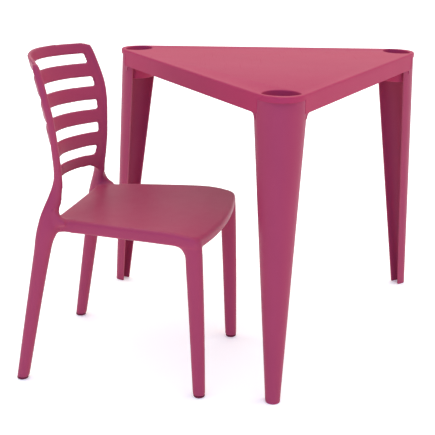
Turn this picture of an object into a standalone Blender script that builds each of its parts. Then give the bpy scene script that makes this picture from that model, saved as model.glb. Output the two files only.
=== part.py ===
"""Child's three-cornered table and slatted chair in moulded plastic.

Metres, +Z up, standing on the floor at Z = 0, front towards -Y.
The table is a top with three channel legs screwed under it.
The chair is one moulding with a plug-in glide in each foot.
"""
import math

import bpy
import bmesh
from mathutils import Vector

# ---- clearances ----
GAP = 0.0003            # between pieces that touch
PLUG_CLEAR = 0.0004     # round a plug or a cup in its opening

# ---- table ----
TABLE_H = 0.465         # floor to table top
CORNER_AT = 0.2591      # table centre to the centre of a corner arc
CORNER_R = 0.0401       # corner arc
PANEL_T = 0.0035        # top panel
RIM_BAND = 0.0085       # rim that laps over each leg head
RIM_ROUND = 0.0028      # rounding of the top edge
APRON_H = 0.0285        # apron under the straight edges
WALL = 0.0030           # moulded walls
APRON_STOP = 58.0       # degrees from the corner direction where the apron stops

CUP_W = 0.056           # corner cup across the corner
CUP_D = 0.044           # corner cup along the corner direction
CUP_DEPTH = 0.050
CUP_RIM = 0.0065        # rim left outside the cup
CUP_WALL = 0.0022
CUP_EDGE = 0.0008       # eased edge at the mouth
CUP_FLOOR_R = 0.0030    # rounding between wall and floor

FOOT_AT = 0.3214        # table centre to the centre of a foot arc
FOOT_R = 0.0112         # foot arc
FLANGE_TOP = 0.0020     # straight part of the channel at the head
FLANGE_FOOT = 0.0100    # straight part of the channel at the foot
TAB_LEN = 0.044         # screw tab of a leg, towards the table centre
TAB_W = 0.062
TAB_T = 0.0030
TAB_CHAMFER = 0.008
BOSS_LEN = 0.015        # screw bosses under the panel
BOSS_R = 0.0055
SCREW_R = 0.0019
SCREW_HEAD_R = 0.0040
SCREW_HEAD_H = 0.0024
SCREW_IN = 0.031        # screw line, inwards from the corner arc centre
SCREW_SIDE = 0.020      # screws either side of the corner direction
RIB_T = 0.0020
RIB_H = 0.011
RIB_STAGGER = 0.0004    # cup ribs stop this much higher than apron ribs

# ---- chair ----
SEAT_H = 0.267          # floor to the seat sides
SEAT_DISH = 0.0060      # hollow of the seat
SEAT_HALF_W = 0.1250
SEAT_FRONT = 0.1560
SEAT_BACK = -0.0930
SEAT_RIM_H = 0.0200     # depth of the seat rim
SEAT_SKIN = 0.0045
SEAT_FRONT_LIFT = 0.18  # share of the rim left off along the front
SEAT_RIM_W = 0.0170
SEAT_BOW = 0.0130       # front corners behind the middle of the front edge
FRONT_CORNER = 0.10     # corner radii as shares of half the seat
REAR_CORNER = 0.07
SEAT_EDGE_R = 0.0045

FRONT_FOOT_X = 0.1430
FRONT_FOOT_Y = 0.1094
BACK_FOOT_X = -0.1425
BACK_FOOT_Y = 0.1245
CHAIR_FOOT_R = 0.0095
LEG_HEAD_L = 0.0260     # front leg under the seat, front to back
LEG_HEAD_W = 0.0224     # front leg under the seat, side to side
LEG_HEAD_IN = 0.0105    # front face of the leg head behind the seat's front edge
LEG_FILLET = 0.0200     # quarter round from a front leg into the side rail
LEG_FLARE = 0.9         # share of the quarter round that the leg reaches backwards
FILLET_DROP = 0.0020    # quarter round ends this far below the seat rim
LEG_BOW = 0.0010        # a front leg's front face bows forwards by this
LEG_SIDE_IN = 0.0025    # outer side of a front leg inside the seat's side
LEG_INTO_SEAT = 0.0145  # leg heads stop this far below the seat's sides

BACK_H = 0.5030         # floor to the top of the back
BACK_T = 0.0056         # back shell
BACK_HALF_W = 0.1170    # half width of the back where it is widest
BACK_WRAP = 0.0480      # how far the back wraps forwards at its sides
SLOT_COUNT = 5
SLOT_PITCH = 0.0375
SLOT_H = 0.0150
TOP_SLAT = 0.0166       # above the highest slot
LOW_SLAT = 0.0186       # below the lowest slot
SLOT_SPAN = 0.855       # slot width as a share of the back width
BACK_ARCH = 0.0030      # slats and slots stand this much higher in the middle than at the posts
CREST_DROP = 0.0040     # rounding of the top corners, below the arch
POST_TOP_IN = 0.0090    # a post ends this far below the top of the back
POST_END_R = 0.0040     # rounding of a post's upper end

GLIDE_H = 0.0025
GLIDE_R = 0.0090
PLUG_R = 0.0048
PLUG_LEN = 0.011
PLUG_ROOM = 0.001       # past the plug's end

# ---- where the chair stands, from the table centre ----
CHAIR_X = -0.2261
CHAIR_Y = -0.1692
CHAIR_TURN = -13.4      # degrees, chair front from +X

SMOOTH_BELOW = 30.0     # degrees between faces that are shaded as one surface

for old in list(bpy.data.objects):
    bpy.data.objects.remove(old, do_unlink=True)


def material(name, colour, rough, metal=0.0):
    mat = bpy.data.materials.new(name)
    mat.use_nodes = True
    bsdf = mat.node_tree.nodes["Principled BSDF"]
    bsdf.inputs["Base Color"].default_value = (*colour, 1.0)
    bsdf.inputs["Roughness"].default_value = rough
    bsdf.inputs["Metallic"].default_value = metal
    return mat


def to_object(name, bm, mat=None):
    bmesh.ops.remove_doubles(bm, verts=bm.verts, dist=1e-7)
    bmesh.ops.recalc_face_normals(bm, faces=bm.faces)
    mesh = bpy.data.meshes.new(name)
    bm.to_mesh(mesh)
    bm.free()
    mesh.shade_smooth()
    mesh.set_sharp_from_angle(angle=math.radians(SMOOTH_BELOW))
    obj = bpy.data.objects.new(name, mesh)
    bpy.context.scene.collection.objects.link(obj)
    if mat is not None:
        mesh.materials.append(mat)
    return obj


def loft(name, rings, mat=None):
    """Closed body through rings of equal length, capped at both ends."""
    bm = bmesh.new()
    rows = [[bm.verts.new(p) for p in ring] for ring in rings]
    count = len(rings[0])
    for lower, upper in zip(rows, rows[1:]):
        for i in range(count):
            j = (i + 1) % count
            bm.faces.new((lower[i], lower[j], upper[j], upper[i]))
    bm.faces.new(list(reversed(rows[0])))
    bm.faces.new(rows[-1])
    return to_object(name, bm, mat)


def circle(centre, radius, z, count):
    """Points round a centre at one height."""
    ring = []
    for k in range(count):
        a = math.tau * k / count
        ring.append((centre[0] + radius * math.cos(a), centre[1] + radius * math.sin(a), z))
    return ring


def turned(name, centre, profile, mat=None, count=16):
    """Solid turned about an upright line: profile is (height, radius) pairs."""
    return loft(name, [circle(centre, radius, z, count) for z, radius in profile], mat)


def cylinder(name, centre, radius, z0, z1, count=16):
    return turned(name, centre, [(z0, radius), (z1, radius)], None, count)


def prism(name, outline, z0, z1, mat=None):
    return loft(name, [[(x, y, z) for x, y in outline] for z in (z0, z1)], mat)


def hide_tool(obj):
    obj.hide_render = True
    obj.display_type = "WIRE"


def combine(target, tool, operation):
    """Join or cut with an exact Boolean."""
    mod = target.modifiers.new(operation.lower() + "_" + tool.name, "BOOLEAN")
    mod.operation = operation
    mod.solver = "EXACT"
    mod.object = tool
    hide_tool(tool)


def lerp(a, b, t):
    return a + (b - a) * t


def clamp(value):
    return max(0.0, min(1.0, value))


def smooth_through(points, value):
    """Smooth value between listed (key, value) pairs."""
    keys = [p[0] for p in points]
    vals = [p[1] for p in points]
    if value <= keys[0]:
        return vals[0]
    if value >= keys[-1]:
        return vals[-1]
    i = max(k for k in range(len(keys) - 1) if keys[k] <= value)
    slopes = []
    for k in (i, i + 1):
        a = max(k - 1, 0)
        b = min(k + 1, len(keys) - 1)
        slopes.append((vals[b] - vals[a]) / (keys[b] - keys[a]))
    span = keys[i + 1] - keys[i]
    t = (value - keys[i]) / span
    h00 = 2 * t ** 3 - 3 * t ** 2 + 1
    h10 = t ** 3 - 2 * t ** 2 + t
    h01 = -2 * t ** 3 + 3 * t ** 2
    h11 = t ** 3 - t ** 2
    return h00 * vals[i] + h10 * span * slopes[0] + h01 * vals[i + 1] + h11 * span * slopes[1]


# ---- table ----
PINK_TOP = (0.58, 0.14, 0.21)
PINK_LEG = (0.38, 0.07, 0.16)
CORNERS = {"front": -90.0, "right": 30.0, "left": 150.0}
SIDES = (("a", 1), ("b", -1))
BORE_END = 0.001        # plastic left above a boss's bore
BORE_OVER = 0.004       # how far a cutter runs past what it cuts
CUT_OVER = 0.020        # the same for the leg channels
SCREW_SHORT = 0.0025    # screw tips stop this far below the panel
TABLE_PIECES = []
CHAIR_PIECES = []


def corner_frame(name):
    """Corner direction and the sideways direction at that corner."""
    a = math.radians(CORNERS[name])
    return Vector((math.cos(a), math.sin(a))), Vector((-math.sin(a), math.cos(a)))


def at_corner(name, u, v, from_centre=CORNER_AT):
    out, side = corner_frame(name)
    p = out * (from_centre + u) + side * v
    return (p.x, p.y)


def table_outline(inset, arc_steps=14):
    """Rounded three-cornered outline, moved inwards by inset."""
    pts = []
    for name in CORNERS:
        for k in range(arc_steps + 1):
            a = math.radians(-60.0 + 120.0 * k / arc_steps)
            r = CORNER_R - inset
            pts.append(at_corner(name, r * math.cos(a), r * math.sin(a)))
    return pts


def cup_outline(grow, steps=12):
    """Lens-shaped cup: outer arc follows the rim, inner arc bulges to the centre."""
    half = CUP_W / 2 + grow
    r_out = CORNER_R - CUP_RIM + grow
    a_out = math.asin(half / r_out) if half < r_out else math.pi / 2
    u_corner = r_out * math.cos(a_out)
    u_in = (CORNER_R - CUP_RIM) - CUP_D - grow
    rise = u_corner - u_in
    r_in = (half * half + rise * rise) / (2 * rise)
    a_in = math.asin(min(1.0, half / r_in))
    if rise > r_in:
        a_in = math.pi - a_in
    pts = []
    for k in range(steps + 1):
        a = lerp(-a_out, a_out, k / steps)
        pts.append((r_out * math.cos(a), r_out * math.sin(a)))
    for k in range(1, steps):
        a = lerp(a_in, -a_in, k / steps)
        pts.append((u_in + r_in - r_in * math.cos(a), r_in * math.sin(a)))
    return pts


def build_table_top():
    mat = material("table_top_plastic", PINK_TOP, 0.38)
    top = TABLE_H
    zs = [
        (top - APRON_H, 0.0006),
        (top - APRON_H + 0.0006, 0.0),
        (top - RIM_ROUND, 0.0),
        (top - RIM_ROUND * 0.62, RIM_ROUND * 0.08),
        (top - RIM_ROUND * 0.29, RIM_ROUND * 0.29),
        (top - RIM_ROUND * 0.08, RIM_ROUND * 0.62),
        (top, RIM_ROUND),
    ]
    rings = [[(x, y, z) for x, y in table_outline(inset)] for z, inset in zs]
    obj = loft("table_top", rings, mat)
    # hollow under the panel
    hollow = prism("table_hollow", table_outline(WALL), top - 2 * APRON_H, top - PANEL_T)
    combine(obj, hollow, "DIFFERENCE")
    # the aprons stop short of the corners, where the leg heads stand
    reach = CORNER_R * 1.3
    for name in CORNERS:
        fan = [at_corner(name, 0.0, 0.0)]
        for k in range(13):
            a = math.radians(lerp(-APRON_STOP, APRON_STOP, k / 12))
            fan.append(at_corner(name, reach * math.cos(a), reach * math.sin(a)))
        gap = prism("leg_gap_" + name, fan, top - 2 * APRON_H, top - RIM_BAND)
        combine(obj, gap, "DIFFERENCE")
    # stiffening ribs under the panel: three to the cups, three to the aprons
    reach_cup = CORNER_AT - CUP_D + CORNER_R - CUP_RIM - CUP_WALL * 0.5
    reach_apron = CORNER_AT * 0.5 + CORNER_R - WALL * 0.5
    for name in CORNERS:
        out, side = corner_frame(name)
        for tag, way, reach in (("cup", 1, reach_cup), ("apron", -1, reach_apron)):
            start = -RIB_T * 1.5 if tag == "cup" else RIB_T * 0.2
            outline = []
            for u, v in ((start, -RIB_T / 2), (reach, -RIB_T / 2), (reach, RIB_T / 2), (start, RIB_T / 2)):
                p = out * (way * u) + side * (way * v)
                outline.append((p.x, p.y))
            low = top - PANEL_T - RIB_H + (RIB_STAGGER if tag == "cup" else 0.0)
            root = top - PANEL_T * (0.62 if tag == "cup" else 0.55)
            rib = prism("rib_" + tag + "_" + name, outline, low, root)
            combine(obj, rib, "UNION")
    # cups: outside first, then the hollow
    for name in CORNERS:
        body = [at_corner(name, u, v) for u, v in cup_outline(CUP_WALL)]
        cup = prism("cup_" + name, body, top - CUP_DEPTH - CUP_WALL, top - PANEL_T * 0.45)
        combine(obj, cup, "UNION")
    for name in CORNERS:
        levels = []
        for grow, z in (
            (-CUP_FLOOR_R, top - CUP_DEPTH),
            (-CUP_FLOOR_R / 2, top - CUP_DEPTH + CUP_FLOOR_R * 0.6),
            (0.0, top - CUP_EDGE),
            (CUP_EDGE, top),
            (CUP_EDGE * 1.4, top + 0.002),
        ):
            levels.append(([at_corner(name, u, v) for u, v in cup_outline(grow)], z))
        rings = [[(x, y, z) for x, y in ring] for ring, z in levels]
        hole = loft("cup_hollow_" + name, rings)
        combine(obj, hole, "DIFFERENCE")
    # screw bosses
    for name in CORNERS:
        for tag, sign in SIDES:
            c = at_corner(name, -SCREW_IN, sign * SCREW_SIDE)
            z0 = top - PANEL_T - BOSS_LEN
            boss = cylinder("boss_" + name + tag, c, BOSS_R, z0, top - PANEL_T * 0.4, 20)
            combine(obj, boss, "UNION")
            bore = cylinder("bore_" + name + tag, c, SCREW_R + GAP, z0 - BORE_OVER, top - PANEL_T - BORE_END)
            combine(obj, bore, "DIFFERENCE")
    TABLE_PIECES.append(obj)


def leg_size(z):
    """Where the arc of a leg's D section is centred at a height, and its radius."""
    t = z / TABLE_H
    return lerp(FOOT_AT, CORNER_AT, t), lerp(FOOT_R, CORNER_R, t)


def leg_section(z, inset, deep=0.0, steps=20):
    """D section of a leg at a height, in corner coordinates from the table centre."""
    at, outer = leg_size(z)
    r = outer - inset
    back = at - lerp(FLANGE_FOOT, FLANGE_TOP, z / TABLE_H) - deep
    pts = [(back, -r)]
    for k in range(steps + 1):
        a = math.radians(-90.0 + 180.0 * k / steps)
        pts.append((at + r * math.cos(a), r * math.sin(a)))
    pts.append((back, r))
    return pts


def tab_outline(z, steps=20):
    """Screw tab: fills the leg's arc and reaches inwards with chamfered corners."""
    at, outer = leg_size(z)
    r = outer - WALL / 2
    half = TAB_W / 2
    end = CORNER_AT - TAB_LEN
    pts = [(end, -half + TAB_CHAMFER), (end + TAB_CHAMFER, -half), (at - 4 * WALL, -half), (at - 0.001, -r)]
    for k in range(1, steps):
        a = math.radians(-90.0 + 180.0 * k / steps)
        pts.append((at + r * math.cos(a), r * math.sin(a)))
    pts += [(at - 0.001, r), (at - 4 * WALL, half), (end + TAB_CHAMFER, half), (end, half - TAB_CHAMFER)]
    return pts


def build_leg(name):
    mat = material("leg_plastic_" + name, PINK_LEG, 0.4)

    def ring(section, z):
        return [(*at_corner(name, u, v, 0.0), z) for u, v in section]

    head = TABLE_H - RIM_BAND - GAP
    rings = [ring(leg_section(0.0, 0.0004), 0.0)]
    for z in (0.0012, head / 3, head * 2 / 3, head):
        rings.append(ring(leg_section(z, 0.0), z))
    leg = loft("table_leg_" + name, rings, mat)
    # channel, open towards the table centre and at the foot
    cut_rings = [ring(leg_section(z, WALL, deep=0.05), z) for z in (-CUT_OVER, head + CUT_OVER)]
    combine(leg, loft("channel_" + name, cut_rings), "DIFFERENCE")
    # screw tab reaching under the panel
    tab_top = TABLE_H - PANEL_T - BOSS_LEN - GAP
    tab_low = tab_top - TAB_T
    flat = [at_corner(name, u, v, 0.0) for u, v in tab_outline(tab_top)]
    combine(leg, prism("tab_" + name, flat, tab_low, tab_top), "UNION")
    # way through the tab for the cup
    clear = [at_corner(name, u, v) for u, v in cup_outline(CUP_WALL + PLUG_CLEAR)]
    way = prism("cup_way_" + name, clear, TABLE_H - CUP_DEPTH - CUT_OVER / 2, TABLE_H + CUT_OVER / 2)
    combine(leg, way, "DIFFERENCE")
    # room for the aprons either side of the head
    r_in = CORNER_R - WALL - GAP
    a = math.radians(APRON_STOP) - GAP / r_in
    edge = math.radians(60.0)
    normal = Vector((math.cos(edge), math.sin(edge)))
    run = Vector((-math.sin(edge), math.cos(edge))) * CORNER_R * 3
    radial = Vector((math.cos(a), math.sin(a)))
    far = CORNER_R * 1.25
    corners = (radial * r_in, radial * far, normal * far + run, normal * r_in + run)
    for tag, sign in SIDES:
        room = [at_corner(name, p.x, sign * p.y) for p in corners]
        tool = prism("apron_room_" + name + tag, room, TABLE_H - APRON_H - GAP, TABLE_H + CUT_OVER / 2)
        combine(leg, tool, "DIFFERENCE")
        c = at_corner(name, -SCREW_IN, sign * SCREW_SIDE)
        hole = cylinder("screw_way_" + name + tag, c, SCREW_R + GAP, tab_low - BORE_OVER, tab_top + BORE_OVER)
        combine(leg, hole, "DIFFERENCE")
    TABLE_PIECES.append(leg)
    # screws from below
    seat = tab_low - GAP
    tip = TABLE_H - PANEL_T - SCREW_SHORT
    for tag, sign in SIDES:
        steel = material("screw_steel_" + name + tag, (0.55, 0.55, 0.56), 0.3, 1.0)
        profile = [
            (seat - SCREW_HEAD_H, SCREW_HEAD_R * 0.62),
            (seat - SCREW_HEAD_H * 0.75, SCREW_HEAD_R * 0.88),
            (seat - SCREW_HEAD_H * 0.35, SCREW_HEAD_R),
            (seat, SCREW_HEAD_R),
            (seat + 0.00001, SCREW_R),
            (tip - SCREW_R, SCREW_R),
            (tip, SCREW_R * 0.35),
        ]
        c = at_corner(name, -SCREW_IN, sign * SCREW_SIDE)
        TABLE_PIECES.append(turned("screw_" + name + "_" + tag, c, profile, steel))


# ---- chair, in its own axes: x forwards, y to its left, from the middle of its feet ----
# Its curves are keyed by level: 0 is the floor, 1 the seat's sides, 2 the top of the back.
POST_FRONT = (          # front face of a rear leg and of the back above it
    (0.0, BACK_FOOT_X + CHAIR_FOOT_R), (0.85, -0.0884), (0.94, -0.0787), (1.0, -0.0810), (1.12, -0.0768),
    (1.27, -0.0738), (1.44, -0.0740), (1.65, -0.0775), (1.82, -0.0875), (2.05, -0.1065),
)
POST_OUT = (            # outer side of a rear leg and of the back above it
    (0.0, BACK_FOOT_Y + CHAIR_FOOT_R), (0.56, 0.1263), (0.85, 0.1209), (1.0, 0.1137), (1.18, 0.1004),
    (1.35, 0.1060), (1.69, 0.1170), (1.86, 0.1132), (2.05, 0.1050),
)
POST_LENGTH = (         # rear leg and post, front to back
    (0.0, 2 * CHAIR_FOOT_R), (0.37, 0.0226), (0.76, 0.0264), (0.91, 0.0328), (0.96, 0.0312), (1.03, 0.0246),
    (1.16, 0.0168), (1.27, 0.0128), (1.40, 0.0116),
)
POST_WIDTH = (          # rear leg and post, side to side
    (0.0, 2 * CHAIR_FOOT_R), (0.37, 0.0204), (0.85, 0.0224), (0.95, 0.0232), (1.03, 0.0184), (1.16, 0.0136),
    (1.27, 0.0116), (1.40, 0.0108),
)
WRAP = ((1.10, 0.70), (1.31, 0.78), (1.56, 1.02), (1.78, 1.04), (2.05, 0.95))
SEAT_RISE = ((-0.093, -0.0065), (-0.050, -0.0028), (0.060, 0.0), (0.110, -0.0010), (0.156, -0.0095))
SEAT_WIDTH = ((-0.093, 0.790), (-0.040, 0.862), (0.045, 0.958), (0.105, 1.0), (0.156, 0.985))
POST_LEAN = 0.0055      # inner side of a post leans back where it meets the seat
POST_OUT_HALF = 0.1170  # half width of the back that POST_OUT is given for
SHELL_IN = 0.0040       # edge of the back shell inside the outer side of a post
SHELL_FADE = 0.93       # the shell's edge columns keep straight past this share
SLOT_TOP = BACK_H - TOP_SLAT
BACK_LOW = SLOT_TOP - (SLOT_COUNT - 1) * SLOT_PITCH - SLOT_H - LOW_SLAT


def level(z):
    if z < SEAT_H:
        return z / SEAT_H
    return 1 + (z - SEAT_H) / (BACK_H - SEAT_H)


def side_x(z):
    return smooth_through(POST_FRONT, level(z))


def side_w(z):
    """Outer half width: above the seat it follows the width of the back."""
    widen = (BACK_HALF_W / POST_OUT_HALF - 1) * clamp((level(z) - 1) / 0.35)
    return smooth_through(POST_OUT, level(z)) * (1 + widen)


def back_point(s, z, depth):
    """Point on the back shell: s from -1 to 1 across, depth behind the front face."""
    def front(share):
        wrap = BACK_WRAP * smooth_through(WRAP, level(z))
        x = side_x(z) - wrap * (1 - abs(share) ** 1.75)
        return Vector((x, share * (side_w(z) - SHELL_IN), z))

    p = front(s)
    if depth:
        step = 0.02
        along = front(min(s + step, 1.0)) - front(max(s - step, -1.0))
        behind = Vector((-along.y, along.x, 0.0)).normalized()
        if behind.x > 0:
            behind = -behind
        p = p + behind * depth
    return p


def grid_solid(name, us, vs, point, thick, hole):
    """Shell of even thickness over a grid, left open where hole says so."""
    bm = bmesh.new()
    cells = [(i, j) for i in range(len(us) - 1) for j in range(len(vs) - 1) if not hole(i, j)]
    front = {}
    rear = {}
    for i, j in cells:
        for key in ((i, j), (i + 1, j), (i + 1, j + 1), (i, j + 1)):
            if key not in front:
                front[key] = bm.verts.new(point(us[key[0]], vs[key[1]], 0.0))
                rear[key] = bm.verts.new(point(us[key[0]], vs[key[1]], thick))
    solid = set(cells)
    for i, j in cells:
        ring = ((i, j), (i + 1, j), (i + 1, j + 1), (i, j + 1))
        bm.faces.new([front[k] for k in ring])
        bm.faces.new([rear[k] for k in reversed(ring)])
        beside = ((i, j - 1), (i + 1, j), (i, j + 1), (i - 1, j))
        for k, cell in enumerate(beside):
            if cell not in solid:
                p = ring[k]
                q = ring[(k + 1) % 4]
                bm.faces.new((front[q], front[p], rear[p], rear[q]))
    return to_object(name, bm)


def oval_tube(name, stations, steps=20, power=2.1):
    """Tapered rounded tube: stations are (front x, length, outer y, width, z, lean of its rear)."""
    rings = []
    for front, length, outer, width, z, lean in stations:
        ring = []
        for k in range(steps):
            a = math.tau * k / steps
            px = math.copysign(abs(math.cos(a)) ** (2 / power), math.cos(a))
            py = math.copysign(abs(math.sin(a)) ** (2 / power), math.sin(a))
            sy = math.copysign(1, outer)
            y = outer - sy * width / 2 + width / 2 * py - sy * lean * px
            ring.append((front - length / 2 + length / 2 * px, y, z))
        rings.append(ring)
    return loft(name, rings)


def front_leg(sy):
    """Tapered leg: its rear face flares with a quarter round into the side rail."""
    foot = GLIDE_H + GAP
    top = SEAT_H - LEG_INTO_SEAT
    start = SEAT_H - SEAT_RIM_H - LEG_FILLET - FILLET_DROP
    heights = [foot, top * 0.2, top * 0.4, top * 0.6, top * 0.78]
    heights += [start + LEG_FILLET * k for k in (0.0, 0.35, 0.6, 0.8, 0.93, 1.0)]
    heights.append(top)
    stations = []
    for z in heights:
        t = z / SEAT_H
        front = lerp(FRONT_FOOT_X + CHAIR_FOOT_R, SEAT_FRONT - LEG_HEAD_IN, t) + LEG_BOW * math.sin(math.pi * t)
        swell = clamp(t / 0.8) ** 0.8
        k = clamp((z - start) / LEG_FILLET)
        flare = LEG_FLARE * LEG_FILLET * (1 - math.sqrt(1 - k * k))
        length = lerp(2 * CHAIR_FOOT_R, LEG_HEAD_L, swell) + flare
        width = lerp(2 * CHAIR_FOOT_R, LEG_HEAD_W, swell)
        outer = lerp(FRONT_FOOT_Y + CHAIR_FOOT_R, SEAT_HALF_W - LEG_SIDE_IN, t)
        stations.append((front, length, sy * outer, width, z, 0.0))
    return oval_tube("front_leg", stations)


def back_post(sy):
    """Rear leg that runs on up as the side of the back."""
    foot = GLIDE_H + GAP
    top = BACK_H - POST_TOP_IN
    heights = [foot] + [SEAT_H * k for k in (0.2, 0.37, 0.57, 0.76, 0.85, 0.89, 0.92, 0.95, 0.99)]
    rise = BACK_H - SEAT_H
    heights += [SEAT_H + rise * k for k in (0.035, 0.1, 0.16, 0.22, 0.28, 0.36, 0.48, 0.6, 0.7, 0.78, 0.86)]
    heights += [top - 0.010, top]
    stations = []
    for z in heights:
        t = level(z)
        slim = 0.7 if z == top else 1.0
        length = smooth_through(POST_LENGTH, t) * slim
        width = smooth_through(POST_WIDTH, t) * slim
        lean = POST_LEAN * math.sin(math.pi * clamp((t - 0.8) / 0.44)) ** 2
        shy = (1 - slim) * POST_END_R
        stations.append((side_x(z) - shy, length, sy * (side_w(z) - shy), width, z, lean))
    return oval_tube("back_post", stations, steps=18)


def back_shell():
    """Wrapped back with its slots."""
    cols = [0.965, SLOT_SPAN + 0.05, SLOT_SPAN, 0.74, 0.60, 0.45, 0.30, 0.15]
    us = [-c for c in cols] + [0.0] + list(reversed(cols))
    rows = [BACK_LOW]
    slots = []
    for k in reversed(range(SLOT_COUNT)):
        high = SLOT_TOP - k * SLOT_PITCH
        slots.append(len(rows))
        rows += [high - SLOT_H, high]
    rows += [BACK_H - CREST_DROP, BACK_H]
    first = cols.index(SLOT_SPAN)
    last = len(us) - 1 - first

    def is_hole(i, j):
        return j in slots and first <= i < last

    def point(s, z, depth):
        zz = z
        if z == BACK_LOW:
            zz = z - 0.012 * max(0.0, (abs(s) - 0.62) / 0.33)
        if z == BACK_H:
            zz = z - CREST_DROP * clamp((abs(s) - 0.84) / 0.125) ** 2.2
        zz -= BACK_ARCH * s * s
        if abs(s) < SHELL_FADE:
            s = s * (1.0 - 0.06 * clamp((BACK_LOW + 0.050 - z) / 0.030))
        return back_point(s, zz, depth)

    return grid_solid("back_shell", us, rows, point, BACK_T, is_hole)


def seat_half(x):
    return SEAT_HALF_W * smooth_through(SEAT_WIDTH, x)


def seat_height(x, y):
    """Seat surface: raised sides, hollow middle, front edge falling away."""
    u = min(1.0, abs(y) / seat_half(x))
    along = clamp((x - SEAT_BACK) / (SEAT_FRONT - SEAT_BACK))
    dish = SEAT_DISH * (1 - u ** 2.2) * math.sin(math.pi * along) ** 0.7
    return SEAT_H + smooth_through(SEAT_RISE, x) - dish


def seat_outline(arc_steps=6, side_steps=7):
    """Seat edge: sides widening to the front, bowed front edge, rounded corners."""
    flat = []
    for cx, cy, r, start in ((1, 1, FRONT_CORNER, 0), (-1, 1, REAR_CORNER, 90),
                             (-1, -1, REAR_CORNER, 180), (1, -1, FRONT_CORNER, 270)):
        for k in range(arc_steps + 1):
            a = math.radians(start + 90.0 * k / arc_steps)
            flat.append((cx * (1 - r) + r * math.cos(a), cy * (1 - r) + r * math.sin(a)))
    pts = []
    for p, q in zip(flat, flat[1:] + flat[:1]):
        pts.append(p)
        if math.hypot(q[0] - p[0], q[1] - p[1]) > 0.5:
            for k in range(1, side_steps):
                pts.append((lerp(p[0], q[0], k / side_steps), lerp(p[1], q[1], k / side_steps)))
    outline = []
    for ahead, across in pts:
        x = lerp(SEAT_BACK, SEAT_FRONT - SEAT_BOW * across ** 2, (ahead + 1) / 2)
        outline.append(Vector((x, across * seat_half(x))))
    return outline


def build_seat(mat):
    """Dished seat, hollow underneath, with a deep rim."""
    outline = seat_outline()
    mid = Vector(((SEAT_FRONT + SEAT_BACK) / 2, 0.0))

    def scaled(share, drop):
        spots = [mid + (p - mid) * share for p in outline]
        return [(p.x, p.y, seat_height(p.x, p.y) - drop) for p in spots]

    def ring(inset, drop, rim=0.0):
        pts = []
        for edge in outline:
            away = edge - mid
            p = mid + away * max(0.0, 1 - inset / away.length)
            low = rim * (1.0 - SEAT_FRONT_LIFT * clamp((p.x - 0.100) / 0.045))
            pts.append((p.x, p.y, seat_height(p.x, p.y) - drop - low))
        return pts

    rings = [scaled(share, 0.0) for share in (0.16, 0.38, 0.60, 0.80)]
    r = SEAT_EDGE_R
    rings += [ring(2.2 * r, 0.0), ring(r, 0.0004), ring(0.4 * r, 0.4 * r), ring(0.1 * r, r), ring(0.0, 2 * r)]
    deep = SEAT_RIM_H
    rings += [ring(0.0006, -0.003, deep), ring(0.0022, -0.0008, deep), ring(0.005, 0.0, deep)]
    rings += [ring(SEAT_RIM_W - 0.004, 0.0, deep), ring(SEAT_RIM_W - 0.001, -0.002, deep)]
    rings += [ring(SEAT_RIM_W + 0.001, SEAT_SKIN + 0.002), ring(SEAT_RIM_W + 0.004, SEAT_SKIN)]
    rings += [scaled(share, SEAT_SKIN) for share in (0.60, 0.38, 0.16)]
    return loft("chair_frame", rings, mat)


def build_chair():
    frame = build_seat(material("chair_plastic", (0.42, 0.08, 0.16), 0.42))
    for sy in (1, -1):
        combine(frame, front_leg(sy), "UNION")
        combine(frame, back_post(sy), "UNION")
    combine(frame, back_shell(), "UNION")
    # glides, and their sockets
    for tag, c in (
        ("front_left", (FRONT_FOOT_X, FRONT_FOOT_Y)),
        ("front_right", (FRONT_FOOT_X, -FRONT_FOOT_Y)),
        ("back_left", (BACK_FOOT_X, BACK_FOOT_Y)),
        ("back_right", (BACK_FOOT_X, -BACK_FOOT_Y)),
    ):
        end = GLIDE_H + PLUG_LEN
        bore = cylinder("socket_" + tag, c, PLUG_R + GAP, -BORE_OVER, end + PLUG_ROOM)
        combine(frame, bore, "DIFFERENCE")
        profile = [
            (0.0, GLIDE_R - 0.0016),
            (GLIDE_H * 0.25, GLIDE_R - 0.0004),
            (GLIDE_H * 0.5, GLIDE_R),
            (GLIDE_H, GLIDE_R),
            (GLIDE_H + 0.00001, PLUG_R),
            (end - 0.001, PLUG_R),
            (end, PLUG_R - 0.0012),
        ]
        plastic = material("glide_plastic_" + tag, (0.12, 0.05, 0.08), 0.5)
        CHAIR_PIECES.append(turned("glide_" + tag, c, profile, plastic))
    CHAIR_PIECES.append(frame)


# ---- standing the set on the floor ----
def tools_of(obj):
    """The cutters of an object, with the cutters' own."""
    found = []
    for mod in obj.modifiers:
        if mod.type == "BOOLEAN":
            found.append(mod.object)
            found += tools_of(mod.object)
    return found


def stand(name, pieces, x, y, turn):
    """Stand pieces, with the tools that cut them, on an empty on the floor."""
    base = bpy.data.objects.new(name, None)
    bpy.context.scene.collection.objects.link(base)
    base.location = (x, y, 0.0)
    base.rotation_euler = (0.0, 0.0, math.radians(turn))
    for piece in pieces:
        piece.parent = base
        for tool in tools_of(piece):
            tool.parent = base
    return base


def footprint(pieces):
    """Lowest and highest world X and Y of the finished pieces."""
    bpy.context.view_layer.update()
    graph = bpy.context.evaluated_depsgraph_get()
    points = []
    for piece in pieces:
        mesh = piece.evaluated_get(graph).to_mesh()
        points += [piece.matrix_world @ vert.co for vert in mesh.vertices]
    xs = [p.x for p in points]
    ys = [p.y for p in points]
    return min(xs), max(xs), min(ys), max(ys)


build_table_top()
for corner in CORNERS:
    build_leg(corner)
build_chair()

# the chair stands beside the table, turned a little towards the front
table_base = stand("table_base", TABLE_PIECES, 0.0, 0.0, 0.0)
chair_base = stand("chair_base", CHAIR_PIECES, CHAIR_X, CHAIR_Y, CHAIR_TURN)

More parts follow.
